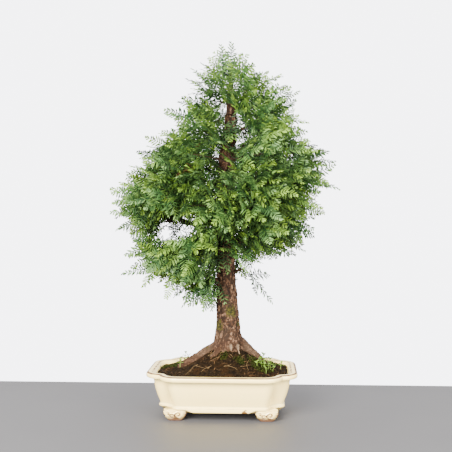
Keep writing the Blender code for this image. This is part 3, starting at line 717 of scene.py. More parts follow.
# Without a seed of its own, the noise in the soil and the bark would start from the clock
noise.seed_set(NOISE_SEED)
scatter = scatter_tree()
soil = soil_bed(dark_soil())
surface = np.array([v.co for v in soil.data.vertices])
open_soil = (surface[:, 2] > OPEN_SOIL).astype(float)
open_soil *= step_between(np.hypot(surface[:, 0] - MOUND_X, surface[:, 1]), *TRUNK_CIRCLE)
mossy = near_any(surface[:, :2], MOSS) * open_soil
crumb_brown = bit_finish("soil_crumbs", (0.0020, 0.0010, 0.0003), (0.026, 0.0140, 0.0045), 0.7)
crumbs = strewn("soil_crumbs", soil, open_soil, CRUMBS, crumb(), crumb_brown, (0.0010, 0.0036), 0.5, 1)
moss_green = bit_finish("soil_moss", (0.005, 0.008, 0.0015), (0.032, 0.036, 0.004), 0.6)
tufts = strewn("soil_moss", soil, mossy, MOSS_TUFTS, moss_tuft(), moss_green, (0.0018, 0.0040), 0.5, 2)
rust_brown = bit_finish("dead_needles", (0.026, 0.011, 0.004), (0.12, 0.062, 0.024), 0.6)
litter = strewn("fallen_needles", soil, open_soil, LITTER, dead_needle(), rust_brown, (0.006, 0.012), 0.25, 3)
strands = root_strands(bit_finish("pale_root", (0.050, 0.028, 0.010), (0.125, 0.080, 0.034), 0.6))
for piece in (soil, crumbs, tufts, litter, strands):
    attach(piece, "root")
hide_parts("soil")


# The seedlings
# Soft weeds that came up by themselves in the soil: a cluster at the right, a sprig at the back left and a
# few more near the rim. Each is a thin pale stem with crossed pairs of small pointed leaves.

# Each seedling's place, its height and its number of leaf pairs
SEEDLINGS = (
    ((0.071, -0.030), 0.020, 3),
    ((0.066, -0.036), 0.015, 3),
    ((0.077, -0.034), 0.013, 2),
    ((0.080, -0.026), 0.017, 3),
    ((0.072, -0.040), 0.010, 2),
    ((0.062, -0.028), 0.012, 2),
    ((0.084, -0.034), 0.009, 2),
    ((0.068, -0.022), 0.016, 3),
    ((0.078, -0.018), 0.012, 2),
    ((0.058, -0.040), 0.008, 2),
    ((0.097, -0.012), 0.010, 2),
    ((0.073, -0.050), 0.007, 1),
    ((-0.071, 0.046), 0.016, 3),
    ((-0.066, 0.050), 0.011, 2),
    ((-0.077, 0.050), 0.009, 2),
    ((-0.072, -0.012), 0.010, 2),
)
LEFT_SEEDLINGS, WEED_SEED = 4, 8
WEED_STEM, WEED_DEPTH, WEED_LEAF = 0.00045, 0.005, 0.0088


def weed_green():
    made, shader, place = new_finish("weed_green", Specular_IOR_Level=0.3)
    fine, reach = cloud(place, 500, 2), mark_of(place, "reach")
    colour = mix(0.6 * mark_of(place, "tint") + 0.5 * fine, (0.06, 0.125, 0.010), (0.18, 0.27, 0.026))
    colour = mix(0.5 - 0.5 * reach, colour, (0.12, 0.155, 0.034))
    feed(shader, Base_Color=colour, Roughness=0.42 + 0.2 * fine, Normal=bump(fine + 0.6 * reach, 0.0003, 0.5))
    return made


def weed_blade(root, out, up, length, wide):
    """A pointed leaf, cupped along its midrib, that bends down towards its tip."""
    across = unit(np.cross(out, up))
    up = np.cross(across, out)
    rings = []
    for share in np.linspace(0, 0.94, 7):
        half = wide * (math.sin(math.pi * share**0.75) + 0.12) * 0.5
        middle = root + out * length * share + up * length * (0.25 * share - 0.42 * share**2)
        edge = middle + up * half * 0.35
        midrib = (middle + up * 0.00012, middle - up * 0.00022)
        rings.append(np.array([edge + across * half, midrib[0], edge - across * half, midrib[1]]))
    return loft(rings)


def seedlings(name, plants, chance, finish):
    """Seedlings as one mesh: stems that sway a little, with crossed pairs of leaves."""
    skins, reaches, tints = [], [], []
    for (x, y), height, pairs in plants:
        foot = np.array((x, y, soil_height(x, y)))
        sway = np.array((chance.uniform(-0.25, 0.25), chance.uniform(-0.25, 0.25), 0))
        shares = np.linspace(0, 1, 9)[:, None]
        low = foot - (0, 0, WEED_DEPTH)
        path = low + (foot - low) * np.minimum(1, 4 * shares) + (sway * shares + (0, 0, 1)) * height * shares
        skins.append(loft(tube(path, WEED_STEM * np.linspace(1.1, 0.6, len(path)), 7)))
        tint = chance.uniform(0, 1)
        reaches.append(0.0)
        tints.append(tint)
        turn = chance.uniform(0, math.pi)
        for pair in range(pairs):
            share = 1 - 0.32 * pair
            root = foot + (sway * share + (0, 0, 1)) * height * share
            for half in (0, math.pi):
                azimuth = turn + half + pair * math.radians(78) + chance.uniform(-0.2, 0.2)
                rise_up = chance.uniform(0.25, 0.6) + 0.5 * (pair == 0)
                out = unit((math.cos(azimuth), math.sin(azimuth), rise_up))
                length = WEED_LEAF * chance.uniform(0.7, 1.15) * (0.8 + 0.2 * pair)
                skins.append(weed_blade(root, out, np.array((0, 0, 1.0)), length, 0.42 * length))
                reaches.append(1.0)
                tints.append(tint)
    counts = [len(points) for points, _ in skins]
    marks = {"reach": np.repeat(reaches, counts), "tint": np.repeat(tints, counts)}
    made = facing_out(body(name, *merged(skins), finish, **marks))
    made.data.shade_smooth()
    return made


weed_finish, chance = weed_green(), random.Random(WEED_SEED)
for name, plants in (("weed_right", SEEDLINGS[:-LEFT_SEEDLINGS]), ("weed_left", SEEDLINGS[-LEFT_SEEDLINGS:])):
    weeds = seedlings(f"{name}_seedlings", plants, chance, weed_finish)
    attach(weeds, "root")
    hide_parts(name)


# The trunk and its roots
# One upright trunk of dawn redwood, fluted at its foot, which grips the soil with seven surface roots. The
# bark is red-brown and fibrous, and splits into long strips that lift and peel. Moss grows low on its front.

# The trunk's height, its middle's X and its radius
TRUNK = (
    (0.045, 0.009, 0.034),
    (0.098, 0.009, 0.031),
    (0.116, 0.009, 0.0250),
    (0.132, 0.009, 0.0215),
    (0.160, 0.008, 0.0190),
    (0.205, 0.006, 0.0175),
    (0.255, 0.004, 0.0158),
    (0.430, 0.0065, 0.0140),
    (0.500, 0.014, 0.0100),
    (0.540, 0.014, 0.0062),
    (0.572, 0.013, 0.0024),
)
SEED = 21
TRUNK_SIDES, FLUTE_RELIEF = 14, 0.10
SKIN_SIDES, SKIN_RINGS = 112, 150
BARK_RINGS = (0.045, 0.098, 0.116, 0.132, 0.155, 0.185, 0.220, 0.260, 0.310)
BARK_RINGS += (0.360, 0.410, 0.455, 0.495, 0.525, 0.550, 0.572)
# Surface roots: direction, reach from the trunk's middle, height of the shoulder, thickness
ROOTS = (
    (178, 0.086, 0.116, 0.0140),
    (4, 0.070, 0.131, 0.0135),
    (60, 0.066, 0.118, 0.0110),
    (122, 0.070, 0.118, 0.0120),
    (-60, 0.048, 0.121, 0.0085),
    (-132, 0.062, 0.118, 0.0110),
    (-88, 0.042, 0.120, 0.0065),
)
# A root along its way: share of its reach, share of its thickness
ROOT_TAPER = ((0.10, 1.12), (0.40, 1.0), (0.70, 0.76), (1.0, 0.52), (1.16, 0.34))
ROOT_GROUND, ROOT_DIVE = 0.0715, 0.055
# Short pale roots at the trunk's foot: their two ends and their radius
STUBS = (
    ((0.014, -0.021, 0.123), (0.0168, -0.0365, 0.103), 0.0024),
    ((0.024, -0.018, 0.124), (0.0295, -0.0355, 0.101), 0.0030),
)
STUB_PALE = 0.0052
# Patches of moss on the bark: their middle and their radius
BARK_MOSS = (
    ((-0.009, -0.015, 0.147), 0.015),
    ((0.015, -0.017, 0.171), 0.016),
    ((0.026, -0.008, 0.150), 0.008),
    ((-0.030, -0.010, 0.112), 0.011),
    ((0.002, 0.019, 0.160), 0.016),
    ((0.026, 0.012, 0.118), 0.014),
)
# How strongly a root turns the bark's grain its way, where the grain starts, and how fine the skin is
ROOT_PULL, GRAIN_CENTRE, SKIN_STEP = 400, (0.009, 0, 0.122), 0.00136
# Between these heights the roots' grain gives way to the trunk's
COLLAR_LOW, COLLAR_HIGH = 0.085, 0.135
# A painted highlight on the side roots' shoulders: the heights where it comes and goes, and how far out it
# starts
SHOULDER_HIGHLIGHT, SHOULDER_HIGHLIGHT_OUT = (0.082, 0.100, 0.112, 0.128), (0.020, 0.032)
STRIP_WIDTH, STRIP_STRETCH = 0.0035, 0.44
CRACK_DEPTH, CRACK_WIDTH, STRIP_LIFT, FIBRE_RELIEF = 0.0010, 0.28, 0.0009, 0.00035


def trunk_at(z):
    """The trunk's middle and its radius at a height."""
    heights, middles, radii = zip(*TRUNK)
    return np.array((np.interp(z, heights, middles), 0, z)), float(np.interp(z, heights, radii))


def trunk_skin():
    """Fine rings up the trunk, between the upright flutes."""
    chance = random.Random(SEED)
    flutes = np.array([0.5 * (-1) ** k + chance.uniform(-0.5, 0.5) for k in range(TRUNK_SIDES)])
    drift = np.array([[chance.uniform(-0.5, 0.5) for _ in range(TRUNK_SIDES)] for _ in BARK_RINGS])
    turns = np.linspace(0, TRUNK_SIDES, SKIN_SIDES, endpoint=False)
    angles = turns * 2 * math.pi / TRUNK_SIDES
    rings = []
    for z in np.linspace(BARK_RINGS[0], BARK_RINGS[-1], SKIN_RINGS):
        middle, radius = trunk_at(z)
        row = flutes + [np.interp(z, BARK_RINGS, column) for column in drift.T]
        reach = radius * (1 + FLUTE_RELIEF * np.interp(turns, range(TRUNK_SIDES), row, period=TRUNK_SIDES))
        ring = np.column_stack([reach * np.cos(angles), reach * np.sin(angles), np.zeros(len(turns))])
        rings.append(middle + ring)
    return rings


def level_way(azimuth):
    """The level direction at an azimuth, and the one to its left."""
    way = np.array((math.cos(azimuth), math.sin(azimuth), 0))
    return way, np.array((-way[1], way[0], 0))


def root_way(direction, reach, shoulder, thickness):
    """A root's path, which leaves the trunk high, runs over the soil and dives into it, and its radii."""
    way, side = level_way(math.radians(direction))
    shares = np.linspace(ROOT_TAPER[0][0], ROOT_TAPER[-1][0], 22)
    path = []
    for share in shares:
        drop = (shoulder - ROOT_GROUND) * share**0.85 + max(0, share - 0.9) * ROOT_DIVE
        sway = 0.0022 * math.sin(7 * share + direction) * share
        path.append(trunk_at(shoulder)[0] + way * reach * share + side * sway - np.array((0, 0, drop)))
    return path, thickness * np.interp(shares, *zip(*ROOT_TAPER))


def grain_of(points, directions, centre):
    """Places in the bark, drawn together along the limb, so that a pattern there is stretched along it."""
    away = points - centre
    along = (away * directions).sum(axis=1, keepdims=True)
    return away - directions * along * (1 - STRIP_STRETCH)


def bark_at(place):
    """How far the bark stands out at a place in its grain, how deep its crack is, and its flake's shade."""
    spot = Vector(place) / STRIP_WIDTH
    spot += 0.5 * noise.noise_vector(spot * 0.7)
    near, cells = noise.voronoi(spot)
    gap = near[1] - near[0]
    crack = max(0.0, 1 - gap / CRACK_WIDTH)
    lift = noise.cell(cells[0] * 7.3) * min(1.0, gap / 0.5)
    fibre = noise.fractal(spot * 3.1, 0.8, 2.0, 3)
    relief = STRIP_LIFT * lift - CRACK_DEPTH * crack + FIBRE_RELIEF * fibre
    return relief, crack, 0.5 + 0.5 * noise.cell(cells[0] * 5.1)


def carve(made, directions, centre, share=1.0):
    """Works the bark's relief into a mesh, and marks its grain and its cracks."""
    mesh = made.data
    points = np.array([v.co for v in mesh.vertices])
    normals = np.array([normal.vector for normal in mesh.vertex_normals])
    grain = grain_of(points, directions, centre)
    relief, furrow, flake = np.array([bark_at(place) for place in grain]).T
    mesh.vertices.foreach_set("co", (points + normals * (relief * share)[:, None]).ravel())
    for name, values in (("grain", grain), ("furrow", furrow), ("flake", flake * min(1, 2 * share))):
        set_mark(mesh, name, values)
    mesh.update()
    return points


def red_bark():
    made, shader, place = new_finish("red_bark", Specular_IOR_Level=0.12)
    grain = mark_of(place, "grain", out="Vector")
    streaks, fibres, patches = cloud(grain, 260, 4, 0.6), cloud(grain, 900, 3, 0.6), cloud(place, 26, 3)
    scraps = place.add("ShaderNodeTexVoronoi", {}, {"Vector": place, "Scale": 360}, out="Color")
    crack, flake = mark_of(place, "furrow"), mark_of(place, "flake")
    colour = mix(rise(streaks + 0.5 * flake, 0.45, 1.0), (0.016, 0.007, 0.003), (0.092, 0.041, 0.018))
    colour = mix(rise(0.6 - scraps, 0.10, 0.35) * 0.65, colour, (0.014, 0.007, 0.003))
    colour = mix(rise(patches, 0.45, 0.70) * 0.5, colour, (0.042, 0.028, 0.014))
    pale_flakes = rise(0.5 * flake + 0.6 * scraps + 0.4 * fibres, 0.80, 1.00)
    colour = mix(pale_flakes * 0.7, colour, (0.165, 0.096, 0.054))
    colour = mix(crack * 0.85, colour, (0.006, 0.003, 0.002))
    height = place.add("ShaderNodeSeparateXYZ", {}, {"Vector": place}, out="Z")
    # The bark darkens towards the foot of the trunk and over the roots
    darker_foot = 1 - rise(height + 0.02 * streaks, 0.100, 0.160)
    colour = mix(darker_foot * 0.60, colour, (0.036, 0.016, 0.007))
    # Pale wood along the stubs, and a painted highlight on the side roots' shoulders
    colour = mix(mark_of(place, "pale") * (0.35 + 0.8 * fibres), colour, (0.19, 0.130, 0.076))
    tufts = cloud(place, 330, 4, 0.7)
    moss = rise(0.42 * mark_of(place, "moss") + 1.5 * tufts, 0.98, 1.12)
    colour = mix(moss, colour, mix(rise(tufts, 0.40, 0.70), (0.008, 0.008, 0.002), (0.060, 0.049, 0.006)))
    feed(
        shader,
        Base_Color=colour,
        Roughness=0.72 + 0.2 * streaks,
        Normal=bump(streaks * 0.6 + fibres * 0.3 + scraps * 0.3 - crack * 0.4, 0.0010, 0.8),
    )
    return made


def trunk_and_roots(finish):
    """The trunk, its roots and its stubs grown together under one skin, and the bark worked into it."""
    skins = [loft(trunk_skin())]
    ways = [root_way(*root) for root in ROOTS]
    skins += [loft(tube(*way)) for way in ways]
    for start, end, radius in STUBS:
        path = np.linspace(start, end, 8)
        path[:, 1] -= 0.002 * np.sin(np.linspace(0, math.pi, 8))
        skins.append(loft(tube(path, radius * np.linspace(1.2, 0.45, 8), 12)))
    trunk = body("trunk_and_roots", *merged(skins), finish)
    skin = trunk.modifiers.new("skin", "REMESH")
    skin.mode, skin.voxel_size = "VOXEL", SKIN_STEP
    smooth = trunk.modifiers.new("smooth", "SMOOTH")
    smooth.factor, smooth.iterations = 0.5, 5
    plain_mesh(trunk)
    points = np.array([v.co for v in trunk.data.vertices])
    # The grain stands upright on the trunk, and turns along the roots, the more the nearer they are
    directions = np.tile((0.0, 0.0, 1.0), (len(points), 1))
    upright = (step_between(points[:, 2], COLLAR_LOW, COLLAR_HIGH) + 0.02) / 0.018**3
    for path, _ in ways:
        gaps = np.linalg.norm(points[:, None] - np.array(path)[None], axis=2)
        pull = ROOT_PULL / (gaps.min(axis=1) + 0.004) ** 3 / upright
        directions -= np.gradient(path, axis=0)[gaps.argmin(axis=1)] * pull[:, None]
    directions /= np.linalg.norm(directions, axis=1, keepdims=True)
    points = carve(trunk, directions, np.array(GRAIN_CENTRE))
    # Pale wood shows along the stubs, and a painted highlight lies on the shoulders of the two roots at the
    # sides
    stubs = []
    for start, end, _ in STUBS:
        along = np.array((0.45, 0.60, 0.75, 0.90, 1.05))[:, None]
        stubs += [(place, STUB_PALE) for place in np.array(start) * (1 - along) + np.array(end) * along]
    aside, height = abs(points[:, 0] - TRUNK[0][1]), points[:, 2]
    # The painted highlight along the top of the side roots' shoulders
    ridge = 0.14 * step_between(height, *SHOULDER_HIGHLIGHT[:2]) * (1 - step_between(height, *SHOULDER_HIGHLIGHT[2:]))
    ridge *= step_between(aside, *SHOULDER_HIGHLIGHT_OUT) * np.clip(height - 0.08, 0, 0.02) / 0.02
    set_mark(trunk.data, "pale", np.clip(2.2 * near_any(points, stubs), 0, 1) + ridge)
    set_mark(trunk.data, "moss", 1.7 * near_any(points, BARK_MOSS))
    trunk.data.shade_smooth()
    return trunk


bark = red_bark()
trunk = trunk_and_roots(bark)
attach(trunk, "root")
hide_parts("tree_wood")


# The branches
# Woody branches spiral up the trunk, each a golden angle on from the last, and fork once or twice. Thin
# shoots grow from them towards the light, and carry the leaves.

# The crown's height, its middle's X and its half width seen from the front
CROWN = (
    (0.200, -0.022, 0.042),
    (0.243, -0.032, 0.092),
    (0.270, -0.026, 0.134),
    (0.310, -0.010, 0.165),
    (0.360, -0.009, 0.180),
    (0.425, 0.018, 0.166),
    (0.460, 0.022, 0.132),
    (0.540, 0.022, 0.092),
    (0.582, 0.010, 0.054),
    (0.630, 0.010, 0.014),
)
CROWN_DEPTH, CROWN_FORWARD = 0.93, 0.003
PRIMARY_COUNT = 24
LOWEST_BRANCH, HIGHEST_BRANCH = 0.214, 0.548
GOLDEN_ANGLE, FIRST_BRANCH = math.radians(137.5), math.radians(196)
LOW_RISE, HIGH_RISE = math.radians(24), math.radians(42)
BRANCH_LEVELS_OFF, BRANCH_SWAY = 0.30, 0.022
BRANCH_TIP, TWIG_FOOT, TWIG_TIP = 0.0013, 0.0021, 0.0012
# A branch's radius at its foot: the least, and what each metre of wood adds
STOUT_LEAST, STOUT_MORE = 0.0022, 0.030
# Where a branch forks, as shares of its length, when it reaches this far
LONG_BRANCH, LONG_FORKS, MIDDLE_BRANCH, MIDDLE_FORKS = 0.150, (0.36, 0.66), 0.100, (0.50,)
FORK_TURN, SHORTEST_WOOD, SHORTEST_TWIG, TWIG_SHARE = math.radians(52), 0.010, 0.022, 0.80
SPRAY_HOLD, WHOLE_STEPS, FINE_STEPS = 0.056, 50, 22
# A branch swells where it leaves the trunk, by this share, and thins again over this many points
SWELLING, SWELLING_FADE = 0.5, 2.5
BRANCH_STEP, BRANCH_SIDES, BRANCH_RELIEF = 0.0022, 12, 0.45


def crown_reach(azimuth, z):
    """How far the crown reaches from the trunk at a height, in a direction."""
    heights, middles, widths = zip(*CROWN)
    middle = np.interp(z, heights, middles) - trunk_at(z)[0][0]
    depth = 1 - (1 - CROWN_DEPTH) * math.sin(azimuth) ** 2
    lean = middle * math.cos(azimuth) - CROWN_FORWARD * math.sin(azimuth)
    return lean + np.interp(z, heights, widths) * depth


def branch_path(start, azimuth, rise, length, count=4):
    """A branch that leaves at its rise, and levels off towards its tip."""
    way, side = level_way(azimuth)
    path = []
    for k in range(count):
        along = length * k / (count - 1)
        height = along * math.tan(rise) * (1 - BRANCH_LEVELS_OFF * k / (count - 1))
        sway = BRANCH_SWAY * length * math.sin(2.6 * math.pi * k / (count - 1))
        path.append(start + way * along + side * sway + np.array((0, 0, height)))
    return path


def grow_branches():
    """The branches as fine paths with their radii, as coarse ones, and their tips with their directions."""
    chance = random.Random(SEED)
    branches, coarse, tips = [], [], []
    for i in range(PRIMARY_COUNT):
        up = i / (PRIMARY_COUNT - 1)
        z = LOWEST_BRANCH + (HIGHEST_BRANCH - LOWEST_BRANCH) * up**0.95
        azimuth = FIRST_BRANCH + i * GOLDEN_ANGLE + chance.uniform(-0.12, 0.12)
        rise = LOW_RISE + (HIGH_RISE - LOW_RISE) * up + chance.uniform(-0.06, 0.06)
        start, trunk_radius = trunk_at(z)
        reach = 0.12
        for _ in range(5):
            reach = crown_reach(azimuth, z + 0.7 * reach * math.tan(rise))
        wood = max(reach - SPRAY_HOLD, trunk_radius + SHORTEST_WOOD)
        stout = STOUT_LEAST + STOUT_MORE * wood
        path = branch_path(start, azimuth, rise, wood)
        whole = branch_path(start, azimuth, rise, wood, WHOLE_STEPS + 1)
        branches.append((np.array(whole[::2]), np.linspace(stout, BRANCH_TIP, len(whole[::2]))))
        coarse.append((path, np.linspace(stout, BRANCH_TIP, len(path))))
        tips.append((path[-1], unit(path[-1] - path[-2])))
        forks = LONG_FORKS if reach > LONG_BRANCH else MIDDLE_FORKS if reach > MIDDLE_BRANCH else ()
        for k, share in enumerate(forks):
            side = 1 if (i + k) % 2 else -1
            leaves = whole[round(WHOLE_STEPS * share)]
            length = max(SHORTEST_TWIG, (reach - wood * share) * TWIG_SHARE - SPRAY_HOLD)
            turn = azimuth + side * FORK_TURN + chance.uniform(-0.1, 0.1)
            slope = rise * 0.7 + chance.uniform(-0.3, 0.2)
            twig = branch_path(leaves, turn, slope, length, 3)
            fine = branch_path(leaves, turn, slope, length, FINE_STEPS)
            branches.append((np.array(fine), np.linspace(TWIG_FOOT, TWIG_TIP, FINE_STEPS)))
            coarse.append((twig, np.linspace(TWIG_FOOT, TWIG_TIP, len(twig))))
            tips.append((twig[-1], unit(twig[-1] - twig[-2])))
    tips.append((trunk_at(TRUNK[-1][0])[0], np.array((0.0, 0, 1))))
    return branches, coarse, tips


def lines(name, paths, **marks):
    """A mesh of open lines, with marks at their points: numbers, or vectors."""
    ends = np.cumsum([len(path) for path in paths])
    edges = [(i, i + 1) for i in range(ends[-1] - 1) if i + 1 not in set(ends)]
    mesh = bpy.data.meshes.new(name)
    mesh.from_pydata(np.concatenate(paths).tolist(), edges, [])
    for mark, values in marks.items():
        set_mark(mesh, mark, np.concatenate(values))
    return linked(name, mesh)


def round_limbs():
    """A tree that sweeps a round section along lines, as thick as their mark, and marks the way they run."""
    tree, given = geometry_tree("round_limbs", Lines="Geometry", Step="Float", Sides="Int", Finish="Material")
    line = given["Lines"].add("GeometryNodeMeshToCurve", {}, {"Mesh": given["Lines"]})
    line = line.add("GeometryNodeResampleCurve", {"mode": "LENGTH"}, {"Curve": line, "Length": given["Step"]})
    line = stored(line, "way", line.add("GeometryNodeInputTangent"), "FLOAT_VECTOR")
    circle = line.add("GeometryNodeCurvePrimitiveCircle", {}, {"Resolution": given["Sides"], 4: 1.0})
    sockets = {"Curve": line, "Profile Curve": circle, "Scale": marked(line, "thick"), "Fill Caps": True}
    end_tree(line.add("GeometryNodeCurveToMesh", {}, sockets), given["Finish"])
    return tree


def limbs(name, paths, radii, tree, step, sides, share):
    """Branches with bark on them, swept along their paths."""
    made = lines(name, paths, thick=radii)
    grown(made, tree, Step=step, Sides=sides, Finish=bark)
    directions = np.array([way.vector for way in made.data.attributes["way"].data])
    carve(made, directions, np.array((0, 0, 0.3)), share)
    made.data.shade_smooth()
    return made


branches, coarse_branches, tips = grow_branches()
limb_tree = round_limbs()
branch_paths = [path for path, _ in branches]
stout = [radii * (1 + SWELLING * np.exp(-np.arange(len(radii)) / SWELLING_FADE)) for _, radii in branches]
branch_wood = limbs("branches", branch_paths, stout, limb_tree, BRANCH_STEP, BRANCH_SIDES, BRANCH_RELIEF)
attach(branch_wood, "root")
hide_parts("tree_wood")


# The leaves
# Soft flat needles in two rows along slender green ribs, as on a feather. A spray ends each branch, and more
# grow on thin shoots all through the crown. The tips are young and yellow-green, and a few are dry and brown.

SPRAY_LENGTH, SIDE_FEATHER, APEX_SHARE = 0.072, 0.046, 0.74
SIDE_TURN, SIDE_FORK = math.radians(54), 0.013
BARE_STEM, BARE_SIDE = 0.021, 0.006
# Feathers that turn back into the crown, where it is barest: how many, and between which angles to the stem
INNER_COUNT, INNER_TRIES = 31, 30
INNER_FEATHER, BARE_INNER = 0.052, 0.014
INNER_TURN, INNER_REACH = (math.radians(85), math.radians(135)), 0.75
# Needles: their length, how much longer they grow here than in the CAD, and how far apart they stand
# deep in the crown and at its edge
NEEDLE, LONGER, INNER_PITCH, OUTER_PITCH = 0.0140, 1.16, 0.0056, 0.0038
NEEDLE_LEAN, TIP_LEAN = math.radians(62), math.radians(30)
INNER_WIDTH, OUTER_WIDTH = 0.0021, 0.0028
NEEDLE_THICK, NEEDLE_RAGGED, NEEDLE_FALL = 0.00045, 0.30, 0.18
CHECK_STEP, CLEARANCE, GAP = 0.0074, 0.0076, 0.0003
STEM_RADIUS, RIB_FOOT = 0.00120, 1.15
RIB_STEP, RIB_THICK = 0.007, 0.00065
# Shoots: how far apart their tips are low and high in the crown, how many are tried, how high they start,
# and how far inside the crown they end
LOW_SPACING, HIGH_SPACING, SHOOT_TRIES, SHOOT_TOP, SHOOT_INSET = 0.0196, 0.0226, 24000, 0.562, 0.034
SHOOT_THICK, SHOOT_STEP, SHOOT_SIDES, SHOOT_RELIEF = 0.0011, 0.008, 6, 0.1
# How a spray droops and how steeply a shoot rises, by heights in the crown
SPRAY_DROOP = ((0.25, 0.45, 0.55), (0.65, 0.20, -0.15))
SHOOT_RISE = ((0.22, 0.34, 0.48, 0.60), (-0.55, -0.10, 0.35, 1.1))
# How often a spray is turned anew to clear the others, and how near its foot the wood is its own
SPRAY_TRIES, OWN_WOOD = 40, 0.014
# How the shoots' tips crowd outwards: 0.5 would spread them evenly over a level slice of the crown
CROWDING = 0.52
# A shoot's feathers: the one at its tip, those in its pairs with each pair's share, and their bare foot
TIP_FEATHER, PAIR_FEATHER, PAIR_SHARES, BARE_PAIR = 0.042, 0.037, (0.95, 1, 0.85, 0.7), 0.004
# How far the crown's face draws in between its tufts
HOLLOWS = 0.34
PAIR_STEP = 0.0095
# Where the sky shows through the crown: middle X and Z, half width and half height
SKY_GAPS = (
    (0.022, 0.462, 0.010, 0.010),
    (-0.100, 0.309, 0.006, 0.009),
    (-0.062, 0.312, 0.009, 0.011),
    (0.095, 0.228, 0.045, 0.030),
    (0.050, 0.205, 0.040, 0.022),
)
# Where the trunk shows in front
TRUNK_WINDOWS = ((0.015, 0.502, 0.010, 0.015), (0.007, 0.427, 0.013, 0.015), (0.009, 0.262, 0.011, 0.026))
# Shoots set one by one, where the photo shows one: their tip in millimetres, and the way that they point
SET_SHOOTS = (
    (32, -30, 473, -0.7, -0.6, -0.15),
    (-12, -28, 472, 0.6, -0.5, -0.1),
    (38, -34, 460, -0.85, -0.4, 0.05),
    (-18, -36, 462, 0.85, -0.4, 0.0),
    (14, -36, 474, 0.0, -0.75, -0.45),
    (-24, 22, 486, 0.75, 0.2, 0.3),
    (-26, 20, 503, 0.8, 0.2, 0.1),
    (-10, -20, 504, -0.8, -0.3, 0.1),
    (-30, 22, 436, 0.75, 0.2, -0.1),
    (50, 24, 486, -0.75, 0.2, 0.3),
    (-20, 20, 500, -0.6, 0.3, 0.3),
    (42, 20, 500, 0.6, 0.3, 0.3),
    (-22, 20, 440, -0.5, 0.3, 0.2),
    (-18, 30, 470, -0.3, 0.5, 0.4),
    (46, 25, 445, 0.5, 0.4, 0.2),
    (0, -40, 400, 0.3, -0.7, -0.5),
    (24, -45, 388, -0.3, -0.7, -0.6),
    (-16, -50, 372, 0.2, -0.7, -0.65),
    (12, -55, 364, 0.0, -0.7, -0.7),
    (32, -50, 352, -0.2, -0.7, -0.6),
    (-6, -55, 342, 0.3, -0.6, -0.7),
    (16, -50, 328, -0.2, -0.6, -0.7),
    (-10, -50, 318, 0.0, -0.6, -0.75),
    (-20, -35, 294, 0.15, -0.5, -0.85),
    (-42, -45, 302, 0.35, -0.6, -0.6),
    (-8, -45, 277, 0.12, -0.3, -0.95),
    (4, -42, 286, 0.15, -0.3, -0.95),
    (-24, -45, 268, 0.15, -0.3, -0.9),
    (6, -8, 562, -0.15, -0.2, 1.0),
    (16, -8, 560, 0.25, -0.2, 1.0),
    (14, 10, 564, 0.1, 0.4, 0.9),
    (10, -14, 552, 0.05, -0.5, 1.0),
    (2, -12, 570, -0.10, -0.15, 1.0),
    (12, -12, 574, 0.08, -0.10, 1.0),
    (8, 8, 571, 0.00, 0.20, 1.0),
    (1, 4, 577, -0.05, 0.05, 1.0),
    (-146, -10, 352, -1.0, -0.1, 0.15),
    (-138, -30, 338, -0.8, -0.4, 0.0),
    (-14, -30, 206, -0.93, -0.1, -0.30),
    (-22, -32, 216, -0.85, -0.3, -0.35),
    (-26, -20, 226, -0.75, 0.2, -0.35),
    (-46, -20, 336, -0.7, -0.2, -0.65),
    (148, 0, 396, 0.85, -0.1, 0.5),
)
# The eye that looks at the tree: how far off and how high, and how far forward a leaf hides the trunk
EYE_AWAY, EYE_HEIGHT, BEFORE_TRUNK = 1.263, 0.314, -0.008
SET_FACING = (0.0, -1.0, 0.6)
# The heights that part the crown's tiers
TIERS = (0.272, 0.312, 0.356, 0.408, 0.470)
TIER_SEED, DRY_SHARE = SEED + 10, 0.002


def turned(vector, axis, angle):
    """The vector turned about a unit axis by the right-hand rule."""
    turn = np.cross(axis, vector) * math.sin(angle)
    return vector * math.cos(angle) + turn + axis * np.dot(axis, vector) * (1 - math.cos(angle))


def feather(root, along, up, length, bare, bend):
    """A feather: where it starts, which way it runs and faces, and how far it bends down."""
    up = unit(up - along * np.dot(up, along))
    return {"root": root, "along": along, "up": up, "length": length, "bare": bare, "bend": bend}


def rib_point(leaf, distance):
    """A point of the feather's rib, which arches over towards its tip."""
    drop = leaf["bend"] * distance**2 / leaf["length"]
    return leaf["root"] + leaf["along"] * distance - leaf["up"] * drop


def along_rib(leaf, distance):
    return unit(leaf["along"] - leaf["up"] * 2 * leaf["bend"] * distance / leaf["length"])


def needle_length(share):
    """A needle's length by its place along the feather: shorter at the foot, shortest at the tip."""
    return NEEDLE * (0.72 + 0.75 * share - 1.15 * share**2)


def needle_tip(leaf, distance, side, part=1.0):
    """The tip of the needle that leaves the rib at a distance, or a point part of the way to it."""
    long = needle_length(distance / leaf["length"]) * part
    across = np.cross(leaf["up"], leaf["along"]) * side
    out = along_rib(leaf, distance) * math.cos(NEEDLE_LEAN) + across * math.sin(NEEDLE_LEAN)
    return rib_point(leaf, distance) + long * out - leaf["up"] * 0.10 * long


def sample(leaf):
    """Points over a feather, close enough together to tell whether another crosses it."""
    found = [rib_point(leaf, 0.5 * leaf["bare"])]
    count = round((leaf["length"] - leaf["bare"]) / CHECK_STEP)
    for distance in np.linspace(leaf["bare"], leaf["length"], count + 1):
        found.append(rib_point(leaf, distance))
        found += [needle_tip(leaf, distance, side, part) for side in (-1, 1) for part in (0.5, 1.0)]
    return np.array(found)


